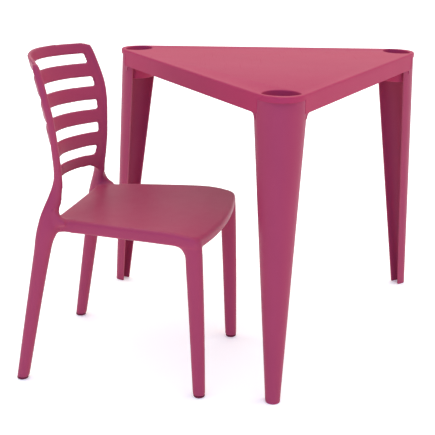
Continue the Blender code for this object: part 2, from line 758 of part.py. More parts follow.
# the middle of the set's footprint is the origin
x0, x1, y0, y1 = footprint(TABLE_PIECES + CHAIR_PIECES)
for base in (table_base, chair_base):
    base.location.x -= (x0 + x1) / 2
    base.location.y -= (y0 + y1) / 2
bpy.context.view_layer.update()
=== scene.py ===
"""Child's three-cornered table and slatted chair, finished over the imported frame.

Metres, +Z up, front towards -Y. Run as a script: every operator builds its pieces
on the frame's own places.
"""
import math

import bmesh
import bpy
from bpy.props import FloatProperty, FloatVectorProperty, IntProperty, PointerProperty
from bpy.types import Operator, Panel, PropertyGroup
from mathutils import Matrix, Vector


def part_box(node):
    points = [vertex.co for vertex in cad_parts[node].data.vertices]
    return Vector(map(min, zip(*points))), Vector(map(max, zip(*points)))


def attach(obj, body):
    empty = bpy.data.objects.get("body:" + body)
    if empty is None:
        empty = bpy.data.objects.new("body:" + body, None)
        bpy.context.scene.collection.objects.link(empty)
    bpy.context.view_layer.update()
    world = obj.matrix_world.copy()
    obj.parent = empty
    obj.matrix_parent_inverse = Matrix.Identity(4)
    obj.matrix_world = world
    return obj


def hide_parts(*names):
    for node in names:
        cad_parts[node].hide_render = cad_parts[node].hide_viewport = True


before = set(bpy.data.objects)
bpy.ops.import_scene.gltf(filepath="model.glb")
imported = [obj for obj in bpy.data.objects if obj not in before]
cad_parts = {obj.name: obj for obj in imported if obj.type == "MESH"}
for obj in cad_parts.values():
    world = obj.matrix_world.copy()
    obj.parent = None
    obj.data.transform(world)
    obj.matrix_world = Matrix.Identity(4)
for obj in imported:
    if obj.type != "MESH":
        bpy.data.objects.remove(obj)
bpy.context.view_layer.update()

bl_info = {
    "name": "Moulded Table and Chair",
    "version": (1, 0, 0),
    "blender": (4, 5, 0),
    "location": "View3D > Sidebar > Table and Chair",
    "description": "Builds a child's three-cornered table with a slatted chair beside it",
    "category": "Add Mesh",
}

CORNERS = {"front": -90.0, "right": 30.0, "left": 150.0}
FEET = {"front_left": (1, 1), "front_right": (1, -1), "back_left": (-1, 1), "back_right": (-1, -1)}


# ---- places read from the frame ----

BOXES = {name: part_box(name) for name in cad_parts}


def middle(node):
    """Middle of a node's box."""
    low, high = BOXES[node]
    return (Vector(low) + Vector(high)) / 2


def table_height():
    return BOXES["table_top"][1][2]


def table_centre(sizes):
    """The table's centre on the floor: the front corner reaches a known distance from it."""
    low, high = BOXES["table_top"]
    reach = sizes.corner_at + sizes.corner_radius
    return Vector(((low[0] + high[0]) / 2, low[1] + reach, 0.0))


def glide_centre(foot):
    spot = middle("glide_" + foot)
    return Vector((spot.x, spot.y, 0.0))


def chair_place():
    """Matrix from the chair's own axes (x forwards, y to its left) to the frame."""
    front = (glide_centre("front_left") + glide_centre("front_right")) / 2
    back = (glide_centre("back_left") + glide_centre("back_right")) / 2
    ahead = front - back
    ahead.normalize()
    turn = math.atan2(ahead.y, ahead.x)
    spot = (front + back) / 2
    return Matrix.Translation(spot) @ Matrix.Rotation(turn, 4, "Z")


# ---- small helpers ----

def lerp(a, b, t):
    return a + (b - a) * t


def clamp(value, low=0.0, high=1.0):
    return max(low, min(high, value))


def through(points, value):
    """Smooth curve through (key, value) pairs."""
    keys = [p[0] for p in points]
    vals = [p[1] for p in points]
    if value <= keys[0]:
        return vals[0]
    if value >= keys[-1]:
        return vals[-1]
    i = max(k for k in range(len(keys) - 1) if keys[k] <= value)
    slopes = []
    for k in (i, i + 1):
        a = max(k - 1, 0)
        b = min(k + 1, len(keys) - 1)
        slopes.append((vals[b] - vals[a]) / (keys[b] - keys[a]))
    span = keys[i + 1] - keys[i]
    t = (value - keys[i]) / span
    near = (2 * t ** 3 - 3 * t ** 2 + 1) * vals[i] + (t ** 3 - 2 * t ** 2 + t) * span * slopes[0]
    far = (3 * t ** 2 - 2 * t ** 3) * vals[i + 1] + (t ** 3 - t ** 2) * span * slopes[1]
    return near + far


def to_piece(name, bm, smooth_angle=35.0):
    """Finished mesh object at the origin, closed, faces outwards."""
    bmesh.ops.remove_doubles(bm, verts=bm.verts, dist=1e-6)
    bmesh.ops.recalc_face_normals(bm, faces=bm.faces)
    mesh = bpy.data.meshes.new(name)
    bm.to_mesh(mesh)
    bm.free()
    piece = bpy.data.objects.new(name, mesh)
    bpy.context.scene.collection.objects.link(piece)
    shade(piece, smooth_angle)
    return piece


def shade(piece, smooth_angle):
    piece.data.shade_smooth()
    piece.data.set_sharp_from_angle(angle=math.radians(smooth_angle))


def settle(piece, smooth_angle=35.0):
    """Applies the piece's modifiers to its mesh."""
    bpy.context.view_layer.update()
    graph = bpy.context.evaluated_depsgraph_get()
    mesh = bpy.data.meshes.new_from_object(piece.evaluated_get(graph))
    piece.modifiers.clear()
    old = piece.data
    piece.data = mesh
    bpy.data.meshes.remove(old)
    mesh.name = piece.name
    shade(piece, smooth_angle)
    return piece


def carve(piece, tools, operation):
    """Joins or cuts with exact Booleans, then removes the tools."""
    for tool in tools:
        mod = piece.modifiers.new(tool.name, "BOOLEAN")
        mod.operation = operation
        mod.solver = "EXACT"
        mod.object = tool
    settle(piece)
    for tool in tools:
        bpy.data.objects.remove(tool, do_unlink=True)
    return piece


def soften(piece, width, segments=2, angle=40.0):
    """Small moulded radius on every sharp edge."""
    mod = piece.modifiers.new("moulded radius", "BEVEL")
    mod.width = width
    mod.segments = segments
    mod.limit_method = "ANGLE"
    mod.angle_limit = math.radians(angle)
    mod.use_clamp_overlap = True
    mod.harden_normals = False
    return mod


def ring_through(bm, stations, point, count):
    """Tube drawn from a circle of vertices and pulled through stations; ends filled."""
    bmesh.ops.create_circle(bm, segments=count, radius=1.0)
    bm.verts.ensure_lookup_table()
    verts = list(bm.verts)[-count:]
    edges = list({e for v in verts for e in v.link_edges})
    for k, vert in enumerate(verts):
        vert.co = point(stations[0], k)
    bmesh.ops.contextual_create(bm, geom=edges)
    for station in stations[1:]:
        made = bmesh.ops.extrude_edge_only(bm, edges=edges)["geom"]
        new = [g for g in made if isinstance(g, bmesh.types.BMVert)]
        lifted = {}
        for vert in new:
            for edge in vert.link_edges:
                other = edge.other_vert(vert)
                if other in verts:
                    lifted[verts.index(other)] = vert
        verts = [lifted[k] for k in range(count)]
        for k, vert in enumerate(verts):
            vert.co = point(station, k)
        edges = [g for g in made if isinstance(g, bmesh.types.BMEdge)
                 and g.verts[0] in new and g.verts[1] in new]
    bmesh.ops.contextual_create(bm, geom=edges)


def prism(name, outline, z0, z1):
    """Upright solid with the given (x, y) outline."""
    bm = bmesh.new()
    verts = [bm.verts.new((x, y, z0)) for x, y in outline]
    face = bm.faces.new(verts)
    made = bmesh.ops.extrude_face_region(bm, geom=[face])["geom"]
    top = [g for g in made if isinstance(g, bmesh.types.BMVert)]
    bmesh.ops.translate(bm, verts=top, vec=(0, 0, z1 - z0))
    return to_piece(name, bm)


def turned(name, spot, profile, count=32):
    """Solid turned round an upright line: profile is (radius, height) pairs."""
    bm = bmesh.new()
    verts = [bm.verts.new((spot.x + r, spot.y, z)) for r, z in profile]
    edges = [bm.edges.new(pair) for pair in zip(verts, verts[1:])]
    bmesh.ops.spin(bm, geom=verts + edges, cent=(spot.x, spot.y, 0), axis=(0, 0, 1),
                   angle=math.tau, steps=count, use_merge=True)
    return to_piece(name, bm)


# ---- shader groups ----

def group(name, inputs, outputs):
    """New shader group with its sockets: (name, kind, default) inputs, (name, kind) outputs."""
    tree = bpy.data.node_groups.new(name, "ShaderNodeTree")
    for label, kind, default in inputs:
        sock = tree.interface.new_socket(name=label, in_out="INPUT", socket_type=kind)
        sock.default_value = default
    for label, kind in outputs:
        tree.interface.new_socket(name=label, in_out="OUTPUT", socket_type=kind)
    return tree


def add(tree, kind, place, **values):
    node = tree.nodes.new(kind)
    node.location = place
    for key, value in values.items():
        setattr(node, key, value)
    return node


def grain_group():
    """Spark-eroded mould grain with slow sink and flow ripples; heights in metres."""
    tree = bpy.data.node_groups.get("Mould Grain")
    if tree:
        return tree
    tree = group("Mould Grain", [
        ("Grain Size", "NodeSocketFloat", 0.0006), ("Grain Height", "NodeSocketFloat", 0.00002),
        ("Ripple Size", "NodeSocketFloat", 0.04), ("Ripple Height", "NodeSocketFloat", 0.0001),
    ], [("Height", "NodeSocketFloat")])
    links = tree.links
    gin = add(tree, "NodeGroupInput", (-900, 0))
    gout = add(tree, "NodeGroupOutput", (500, 0))
    coord = add(tree, "ShaderNodeTexCoord", (-900, 300))
    inv_a = add(tree, "ShaderNodeMath", (-650, 120), operation="DIVIDE")
    inv_a.inputs[0].default_value = 1.0
    inv_b = add(tree, "ShaderNodeMath", (-650, -120), operation="DIVIDE")
    inv_b.inputs[0].default_value = 1.0
    fine = add(tree, "ShaderNodeTexNoise", (-400, 200))
    fine.inputs["Detail"].default_value = 3.0
    fine.inputs["Roughness"].default_value = 0.6
    slow = add(tree, "ShaderNodeTexNoise", (-400, -150))
    slow.inputs["Detail"].default_value = 2.0
    mul_a = add(tree, "ShaderNodeMath", (-150, 150), operation="MULTIPLY")
    mul_b = add(tree, "ShaderNodeMath", (-150, -100), operation="MULTIPLY")
    both = add(tree, "ShaderNodeMath", (150, 0), operation="ADD")
    links.new(gin.outputs["Grain Size"], inv_a.inputs[1])
    links.new(gin.outputs["Ripple Size"], inv_b.inputs[1])
    links.new(coord.outputs["Object"], fine.inputs["Vector"])
    links.new(coord.outputs["Object"], slow.inputs["Vector"])
    links.new(inv_a.outputs[0], fine.inputs["Scale"])
    links.new(inv_b.outputs[0], slow.inputs["Scale"])
    links.new(fine.outputs["Fac"], mul_a.inputs[0])
    links.new(gin.outputs["Grain Height"], mul_a.inputs[1])
    links.new(slow.outputs["Fac"], mul_b.inputs[0])
    links.new(gin.outputs["Ripple Height"], mul_b.inputs[1])
    links.new(mul_a.outputs[0], both.inputs[0])
    links.new(mul_b.outputs[0], both.inputs[1])
    links.new(both.outputs[0], gout.inputs["Height"])
    return tree


def drift_group():
    """Slow drift of the pigment, and a little dust where faces look up."""
    tree = bpy.data.node_groups.get("Pigment Drift")
    if tree:
        return tree
    tree = group("Pigment Drift", [
        ("Colour", "NodeSocketColor", (0.5, 0.1, 0.2, 1.0)), ("Deep", "NodeSocketColor", (0.4, 0.08, 0.16, 1.0)),
        ("Dust", "NodeSocketColor", (0.8, 0.6, 0.65, 1.0)), ("Size", "NodeSocketFloat", 0.09),
        ("Amount", "NodeSocketFloat", 0.5), ("Dust Amount", "NodeSocketFloat", 0.05),
    ], [("Colour", "NodeSocketColor")])
    links = tree.links
    gin = add(tree, "NodeGroupInput", (-900, 0))
    gout = add(tree, "NodeGroupOutput", (700, 0))
    coord = add(tree, "ShaderNodeTexCoord", (-900, 300))
    inv = add(tree, "ShaderNodeMath", (-650, 200), operation="DIVIDE")
    inv.inputs[0].default_value = 1.0
    cloud = add(tree, "ShaderNodeTexNoise", (-400, 200))
    cloud.inputs["Detail"].default_value = 4.0
    cloud.inputs["Roughness"].default_value = 0.5
    span = add(tree, "ShaderNodeMapRange", (-200, 200))
    span.inputs["From Min"].default_value = 0.3
    span.inputs["From Max"].default_value = 0.7
    share = add(tree, "ShaderNodeMath", (0, 200), operation="MULTIPLY")
    mix = add(tree, "ShaderNodeMix", (200, 100), data_type="RGBA")
    normal = add(tree, "ShaderNodeNewGeometry", (-900, -300))
    split = add(tree, "ShaderNodeSeparateXYZ", (-700, -300))
    up = add(tree, "ShaderNodeMapRange", (-400, -300))
    up.inputs["From Min"].default_value = 0.6
    up.inputs["From Max"].default_value = 1.0
    speck = add(tree, "ShaderNodeTexNoise", (-400, -600))
    speck.inputs["Scale"].default_value = 60.0
    speck.inputs["Detail"].default_value = 6.0
    dusty = add(tree, "ShaderNodeMath", (-150, -350), operation="MULTIPLY")
    amount = add(tree, "ShaderNodeMath", (50, -300), operation="MULTIPLY")
    top = add(tree, "ShaderNodeMix", (450, 0), data_type="RGBA")
    links.new(gin.outputs["Size"], inv.inputs[1])
    links.new(coord.outputs["Object"], cloud.inputs["Vector"])
    links.new(coord.outputs["Object"], speck.inputs["Vector"])
    links.new(inv.outputs[0], cloud.inputs["Scale"])
    links.new(cloud.outputs["Fac"], span.inputs["Value"])
    links.new(span.outputs["Result"], share.inputs[0])
    links.new(gin.outputs["Amount"], share.inputs[1])
    links.new(share.outputs[0], mix.inputs["Factor"])
    links.new(gin.outputs["Colour"], mix.inputs["A"])
    links.new(gin.outputs["Deep"], mix.inputs["B"])
    links.new(normal.outputs["Normal"], split.inputs[0])
    links.new(split.outputs["Z"], up.inputs["Value"])
    links.new(up.outputs["Result"], dusty.inputs[0])
    links.new(speck.outputs["Fac"], dusty.inputs[1])
    links.new(dusty.outputs[0], amount.inputs[0])
    links.new(gin.outputs["Dust Amount"], amount.inputs[1])
    links.new(mix.outputs["Result"], top.inputs["A"])
    links.new(gin.outputs["Dust"], top.inputs["B"])
    links.new(amount.outputs[0], top.inputs["Factor"])
    links.new(top.outputs["Result"], gout.inputs["Colour"])
    return tree


def sheen_group():
    """Roughness of rubbed plastic: cloudy, with fine scuffs."""
    tree = bpy.data.node_groups.get("Rubbed Surface")
    if tree:
        return tree
    tree = group("Rubbed Surface", [
        ("Roughness", "NodeSocketFloat", 0.4), ("Cloud", "NodeSocketFloat", 0.05),
        ("Scuffs", "NodeSocketFloat", 0.1),
    ], [("Roughness", "NodeSocketFloat")])
    links = tree.links
    gin = add(tree, "NodeGroupInput", (-900, 0))
    gout = add(tree, "NodeGroupOutput", (700, 0))
    coord = add(tree, "ShaderNodeTexCoord", (-900, 300))
    cloud = add(tree, "ShaderNodeTexNoise", (-600, 200))
    cloud.inputs["Scale"].default_value = 18.0
    cloud.inputs["Detail"].default_value = 5.0
    centred = add(tree, "ShaderNodeMath", (-400, 200), operation="SUBTRACT")
    centred.inputs[1].default_value = 0.5
    mul = add(tree, "ShaderNodeMath", (-200, 200), operation="MULTIPLY")
    turn = add(tree, "ShaderNodeMapping", (-700, -250))
    turn.inputs["Rotation"].default_value = (0.0, 0.0, 0.6)
    turn.inputs["Scale"].default_value = (900.0, 14.0, 14.0)
    streak = add(tree, "ShaderNodeTexNoise", (-500, -250))
    streak.inputs["Scale"].default_value = 1.0
    streak.inputs["Detail"].default_value = 2.0
    thin = add(tree, "ShaderNodeMapRange", (-300, -250))
    thin.inputs["From Min"].default_value = 0.66
    thin.inputs["From Max"].default_value = 0.76
    scuff = add(tree, "ShaderNodeMath", (-100, -200), operation="MULTIPLY")
    one = add(tree, "ShaderNodeMath", (100, 100), operation="ADD")
    two = add(tree, "ShaderNodeMath", (300, 0), operation="ADD")
    two.use_clamp = True
    links.new(coord.outputs["Object"], cloud.inputs["Vector"])
    links.new(coord.outputs["Object"], turn.inputs["Vector"])
    links.new(turn.outputs["Vector"], streak.inputs["Vector"])
    links.new(cloud.outputs["Fac"], centred.inputs[0])
    links.new(centred.outputs[0], mul.inputs[0])
    links.new(gin.outputs["Cloud"], mul.inputs[1])
    links.new(streak.outputs["Fac"], thin.inputs["Value"])
    links.new(thin.outputs["Result"], scuff.inputs[0])
    links.new(gin.outputs["Scuffs"], scuff.inputs[1])
    links.new(gin.outputs["Roughness"], one.inputs[0])
    links.new(mul.outputs[0], one.inputs[1])
    links.new(one.outputs[0], two.inputs[0])
    links.new(scuff.outputs[0], two.inputs[1])
    links.new(two.outputs[0], gout.inputs["Roughness"])
    return tree


def mark_group():
    """Raised witness ring left by a gate or an ejector pin."""
    tree = bpy.data.node_groups.get("Gate Mark")
    if tree:
        return tree
    tree = group("Gate Mark", [
        ("Centre", "NodeSocketVector", (0.0, 0.0, 0.0)), ("Radius", "NodeSocketFloat", 0.004),
        ("Width", "NodeSocketFloat", 0.0007), ("Height", "NodeSocketFloat", 0.00015),
    ], [("Height", "NodeSocketFloat")])
    links = tree.links
    gin = add(tree, "NodeGroupInput", (-900, 0))
    gout = add(tree, "NodeGroupOutput", (500, 0))
    coord = add(tree, "ShaderNodeTexCoord", (-900, 300))
    away = add(tree, "ShaderNodeVectorMath", (-600, 200), operation="DISTANCE")
    off = add(tree, "ShaderNodeMath", (-400, 200), operation="SUBTRACT")
    size = add(tree, "ShaderNodeMath", (-250, 200), operation="ABSOLUTE")
    part = add(tree, "ShaderNodeMath", (-100, 200), operation="DIVIDE")
    inside = add(tree, "ShaderNodeMath", (50, 200), operation="SUBTRACT")
    inside.inputs[0].default_value = 1.0
    inside.use_clamp = True
    tall = add(tree, "ShaderNodeMath", (250, 100), operation="MULTIPLY")
    links.new(coord.outputs["Object"], away.inputs[0])
    links.new(gin.outputs["Centre"], away.inputs[1])
    links.new(away.outputs["Value"], off.inputs[0])
    links.new(gin.outputs["Radius"], off.inputs[1])
    links.new(off.outputs[0], size.inputs[0])
    links.new(size.outputs[0], part.inputs[0])
    links.new(gin.outputs["Width"], part.inputs[1])
    links.new(part.outputs[0], inside.inputs[1])
    links.new(inside.outputs[0], tall.inputs[0])
    links.new(gin.outputs["Height"], tall.inputs[1])
    links.new(tall.outputs[0], gout.inputs["Height"])
    return tree


def put_group(tree, source, place, **values):
    node = add(tree, "ShaderNodeGroup", place, node_tree=source)
    for key, value in values.items():
        node.inputs[key.replace("_", " ")].default_value = value
    return node


def moulded_plastic(name, colour, deep, rough, marks=(), dust=0.04, scuffs=0.08, shine=None):
    """Satin moulded polypropylene."""
    look = bpy.context.scene.plastic_look
    shine = look.shine if shine is None else shine
    mat = bpy.data.materials.new(name)
    mat.use_nodes = True
    tree = mat.node_tree
    bsdf = tree.nodes["Principled BSDF"]
    bsdf.inputs["IOR"].default_value = 1.49
    bsdf.inputs["Specular IOR Level"].default_value = shine
    tint = put_group(tree, drift_group(), (-600, 300), Colour=(*colour, 1.0), Deep=(*deep, 1.0),
                     Dust_Amount=dust)
    tree.links.new(tint.outputs["Colour"], bsdf.inputs["Base Color"])
    rub = put_group(tree, sheen_group(), (-600, 0), Roughness=rough, Scuffs=scuffs)
    tree.links.new(rub.outputs["Roughness"], bsdf.inputs["Roughness"])
    grain = put_group(tree, grain_group(), (-900, -300), Grain_Height=look.grain_height)
    height = grain.outputs["Height"]
    for k, spot in enumerate(marks):
        ring = put_group(tree, mark_group(), (-900, -500 - 200 * k), Centre=spot)
        total = add(tree, "ShaderNodeMath", (-650, -400 - 200 * k), operation="ADD")
        tree.links.new(height, total.inputs[0])
        tree.links.new(ring.outputs["Height"], total.inputs[1])
        height = total.outputs[0]
    bump = add(tree, "ShaderNodeBump", (-300, -300))
    bump.inputs["Distance"].default_value = 1.0
    bump.inputs["Strength"].default_value = 1.0
    tree.links.new(height, bump.inputs["Height"])
    tree.links.new(bump.outputs["Normal"], bsdf.inputs["Normal"])
    return mat


def plated_steel(name):
    mat = bpy.data.materials.new(name)
    mat.use_nodes = True
    tree = mat.node_tree
    bsdf = tree.nodes["Principled BSDF"]
    bsdf.inputs["Metallic"].default_value = 1.0
    tint = put_group(tree, drift_group(), (-600, 300), Colour=(0.62, 0.63, 0.65, 1.0),
                     Deep=(0.45, 0.46, 0.5, 1.0), Size=0.004, Dust_Amount=0.0)
    tree.links.new(tint.outputs["Colour"], bsdf.inputs["Base Color"])
    rub = put_group(tree, sheen_group(), (-600, 0), Roughness=0.3, Cloud=0.15)
    tree.links.new(rub.outputs["Roughness"], bsdf.inputs["Roughness"])
    return mat


# ---- settings ----

class TableSizes(PropertyGroup):
    corner_at: FloatProperty(name="Corner Distance", description="Table centre to the centre of a corner arc",
                             default=0.2591, unit="LENGTH")
    corner_radius: FloatProperty(name="Corner Radius", description="Radius of the rounded corners",
                                 default=0.0401, unit="LENGTH")
    panel: FloatProperty(name="Panel", description="Thickness of the top panel", default=0.0035, unit="LENGTH")
    wall: FloatProperty(name="Wall", description="Thickness of the moulded walls", default=0.003, unit="LENGTH")
    apron: FloatProperty(name="Apron", description="Height of the apron", default=0.0285, unit="LENGTH")
    rim_band: FloatProperty(name="Rim Band", description="Rim that laps over each leg head",
                            default=0.0085, unit="LENGTH")
    rim_round: FloatProperty(name="Rim Radius", description="Rounding of the top edge",
                             default=0.0028, unit="LENGTH")
    apron_stop: FloatProperty(name="Apron Stop", description="Angle from the corner where the apron stops",
                              default=math.radians(58.0), subtype="ANGLE")
    cup_width: FloatProperty(name="Cup Width", description="Cup size across the corner",
                             default=0.056, unit="LENGTH")
    cup_length: FloatProperty(name="Cup Length", description="Cup size towards the centre",
                              default=0.044, unit="LENGTH")
    cup_depth: FloatProperty(name="Cup Depth", description="Depth of each cup", default=0.05, unit="LENGTH")
    cup_rim: FloatProperty(name="Cup Rim", description="Rim left outside a cup", default=0.0065, unit="LENGTH")
    cup_wall: FloatProperty(name="Cup Wall", description="Wall of a cup", default=0.0022, unit="LENGTH")
    foot_at: FloatProperty(name="Foot Distance", description="Table centre to the centre of a foot arc",
                           default=0.3214, unit="LENGTH")
    foot_radius: FloatProperty(name="Foot Radius", description="Radius of a leg at the floor",
                               default=0.0112, unit="LENGTH")
    flange_top: FloatProperty(name="Head Flange", description="Straight part of the channel at the head",
                              default=0.002, unit="LENGTH")
    flange_foot: FloatProperty(name="Foot Flange", description="Straight part of the channel at the foot",
                               default=0.010, unit="LENGTH")
    fillet: FloatProperty(name="Fillet", description="Fillet between a leg and the apron",
                          default=0.007, unit="LENGTH")
    seam: FloatProperty(name="Seam", description="Gap between a leg head and the top",
                        default=0.00015, unit="LENGTH")
    arc_steps: IntProperty(name="Arc Steps", description="Facets round a corner", default=40, min=8)


class ChairSizes(PropertyGroup):
    seat_height: FloatProperty(name="Seat Height", description="Floor to the seat sides",
                               default=0.267, unit="LENGTH")
    seat_dish: FloatProperty(name="Seat Dish", description="Hollow of the seat", default=0.006, unit="LENGTH")
    seat_half: FloatProperty(name="Half Seat Width", description="Half the widest seat width",
                             default=0.125, unit="LENGTH")
    seat_front: FloatProperty(name="Seat Front", description="Front edge from the middle of the feet",
                              default=0.156, unit="LENGTH")
    seat_back: FloatProperty(name="Seat Back", description="Rear edge from the middle of the feet",
                             default=-0.093, unit="LENGTH")
    rim_depth: FloatProperty(name="Rim Depth", description="Depth of the seat rim", default=0.02, unit="LENGTH")
    rim_width: FloatProperty(name="Rim Width", description="Width of the seat rim below", default=0.017,
                             unit="LENGTH")
    front_bow: FloatProperty(name="Front Bow", description="How far the seat corners stand behind its front",
                             default=0.013, unit="LENGTH")
    front_lift: FloatProperty(name="Front Lift", description="Share by which the front rim is shallower",
                              default=0.18, subtype="FACTOR")
    skin: FloatProperty(name="Seat Skin", description="Thickness of the seat", default=0.0045, unit="LENGTH")
    foot_radius: FloatProperty(name="Foot Radius", description="Leg radius at the floor", default=0.0095,
                               unit="LENGTH")
    back_arch: FloatProperty(name="Back Arch", description="Rise of the slats in their middle", default=0.0036,
                             unit="LENGTH")
    back_wrap: FloatProperty(name="Back Wrap", description="How far the back wraps forwards",
                             default=0.048, unit="LENGTH")
    back_shell: FloatProperty(name="Back Thickness", description="Thickness of the slats",
                              default=0.0056, unit="LENGTH")
    slots: IntProperty(name="Slots", description="Number of slots in the back", default=5, min=1)
    slot_pitch: FloatProperty(name="Slot Pitch", description="Distance between slots", default=0.0375,
                              unit="LENGTH")
    slot_height: FloatProperty(name="Slot Height", description="Height of each slot", default=0.015,
                               unit="LENGTH")
    top_slat: FloatProperty(name="Top Slat", description="Height of the slat above the slots",
                            default=0.0174, unit="LENGTH")
    low_slat: FloatProperty(name="Low Slat", description="Height of the slat below the slots",
                            default=0.0186, unit="LENGTH")
    slot_span: FloatProperty(name="Slot Span", description="Slot width as a share of the back width",
                             default=0.855, subtype="FACTOR")
    leg_length: FloatProperty(name="Leg Length", description="Front leg under the seat, front to back",
                              default=0.026, unit="LENGTH")
    leg_width: FloatProperty(name="Leg Width", description="Front leg under the seat, side to side",
                             default=0.0224, unit="LENGTH")
    leg_fillet: FloatProperty(name="Leg Fillet", description="Quarter round from a front leg into its rail",
                              default=0.02, unit="LENGTH")
    gusset: FloatProperty(name="Gusset", description="Quarter round from a post onto the seat's side",
                          default=0.014, unit="LENGTH")
    voxel: FloatProperty(name="Blend Grid", description="Grid that blends the moulding's members together",
                         default=0.002, unit="LENGTH")


class PlasticLook(PropertyGroup):
    top: FloatVectorProperty(name="Top", description="Colour of the table top", subtype="COLOR",
                             default=(0.42, 0.038, 0.092), size=3, min=0, max=1)
    top_deep: FloatVectorProperty(name="Top Deep", description="Deeper pigment of the top", subtype="COLOR",
                                  default=(0.39, 0.034, 0.084), size=3, min=0, max=1)
    body: FloatVectorProperty(name="Body", description="Colour of legs and chair", subtype="COLOR",
                              default=(0.372, 0.042, 0.092), size=3, min=0, max=1)
    body_deep: FloatVectorProperty(name="Body Deep", description="Deeper pigment of legs and chair",
                                   subtype="COLOR", default=(0.345, 0.038, 0.084), size=3, min=0, max=1)
    rough: FloatProperty(name="Roughness", description="Roughness of the moulded surface", default=0.42,
                         subtype="FACTOR")
    shine: FloatProperty(name="Shine", description="Specular level", default=0.15, subtype="FACTOR")
    grain_height: FloatProperty(name="Grain Height", description="Height of the mould grain",
                                default=0.00002, unit="LENGTH")


class StudioLook(PropertyGroup):
    camera_from_table: FloatVectorProperty(name="Camera", description="Camera place from the table's centre",
                                           default=(-0.0878, -1.5770, 0.7213), size=3, subtype="TRANSLATION")
    pitch: FloatProperty(name="Pitch", description="Camera tilt below the horizon",
                         default=math.radians(18.774), subtype="ANGLE")
    roll: FloatProperty(name="Roll", description="Camera roll", default=math.radians(0.785), subtype="ANGLE")
    lens: FloatProperty(name="Lens", description="Focal length in millimetres", default=77.1)
    key: FloatProperty(name="Key", description="Strength of the overhead light", default=2.6)
    key_colour: FloatVectorProperty(name="Key Colour", description="Colour of the overhead light",
                                    subtype="COLOR", default=(1.0, 1.0, 0.88), size=3, min=0, max=1)
    fill: FloatProperty(name="Fill", description="Strength of the light from the camera's side", default=1.35)
    fill_colour: FloatVectorProperty(name="Fill Colour", description="Colour of the light from the camera's side",
                                     subtype="COLOR", default=(0.16, 0.36, 0.95), size=3, min=0, max=1)
    surround: FloatProperty(name="Surround", description="Strength of the pale surround", default=0.68)
    cool_side: FloatVectorProperty(name="Cool Side", description="Colour of the surround on the camera's side",
                                   subtype="COLOR", default=(0.22, 0.33, 0.80), size=3, min=0, max=1)
    floor_glow: FloatProperty(name="Floor Glow", description="Light of the back-lit floor sheet", default=0.2)
    floor: FloatVectorProperty(name="Floor", description="Floor colour", subtype="COLOR",
                               default=(0.99, 1.0, 0.94), size=3, min=0, max=1)


# ---- table ----

BOSS_LENGTH = 0.015     # screw bosses under the panel
RIB_DEPTH = 0.011       # ribs under the panel
RIB_STAGGER = 0.0004    # cup ribs stop this much higher than apron ribs
CUP_ROOT = 0.45         # shares of the panel that cups, ribs and bosses run up into
RIB_ROOTS = {"cup": 0.62, "apron": 0.55}
BOSS_ROOT = 0.4
TAB_HALF = 0.031        # screw tab: half width, reach from the corner's centre, thickness
TAB_REACH = 0.044
TAB_THICK = 0.003
PAST = 0.010            # how far a cutter runs past what it cuts
EASED = 0.0004          # small radius on the edges of the mouldings
MARK_AT = 0.74          # height of a leg's moulding mark, as a share of the table's


def corner_spot(sizes, corner, out, side, z=0.0):
    """Frame point: out from the corner arc's centre and side across it."""
    turn = math.radians(CORNERS[corner])
    centre = table_centre(sizes)
    reach = sizes.corner_at + out
    x = centre.x + reach * math.cos(turn) - side * math.sin(turn)
    y = centre.y + reach * math.sin(turn) + side * math.cos(turn)
    return Vector((x, y, z))


def cup_outline(sizes, grow, steps=26):
    """Lens-shaped cup in corner axes: outer arc follows the rim, inner arc bulges inwards."""
    half = sizes.cup_width / 2 + grow
    outer = sizes.corner_radius - sizes.cup_rim + grow
    spread = math.asin(half / outer)
    inner_reach = sizes.corner_radius - sizes.cup_rim - sizes.cup_length - grow
    rise = outer * math.cos(spread) - inner_reach
    inner = (half * half + rise * rise) / (2 * rise)
    bulge = math.asin(min(1.0, half / inner))
    if rise > inner:
        bulge = math.pi - bulge
    points = []
    for k in range(steps + 1):
        a = lerp(-spread, spread, k / steps)
        points.append((outer * math.cos(a), outer * math.sin(a)))
    for k in range(1, steps):
        a = lerp(bulge, -bulge, k / steps)
        points.append((inner_reach + inner - inner * math.cos(a), inner * math.sin(a)))
    return points


def cup_solid(sizes, corner, levels, name):
    """Cup-shaped solid through (growth, height) levels."""
    bm = bmesh.new()

    def point(level, k):
        grow, z = level
        out, side = cup_outline(sizes, grow)[k]
        return corner_spot(sizes, corner, out, side, z)

    ring_through(bm, levels, point, len(cup_outline(sizes, 0.0)))
    return to_piece(name, bm)


def rounded_triangle(sizes, bm, z):
    """One rounded three-cornered face."""
    verts = []
    for corner in CORNERS:
        verts.append(bm.verts.new(corner_spot(sizes, corner, 2 * sizes.corner_radius, 0.0, z)))
    face = bm.faces.new(verts)
    bmesh.ops.bevel(bm, geom=list(face.verts), offset=sizes.corner_radius * math.sqrt(3), offset_type="OFFSET",
                    segments=sizes.arc_steps, profile=0.5, affect="VERTICES", material=-1)
    bm.faces.ensure_lookup_table()
    return bm.faces[0]


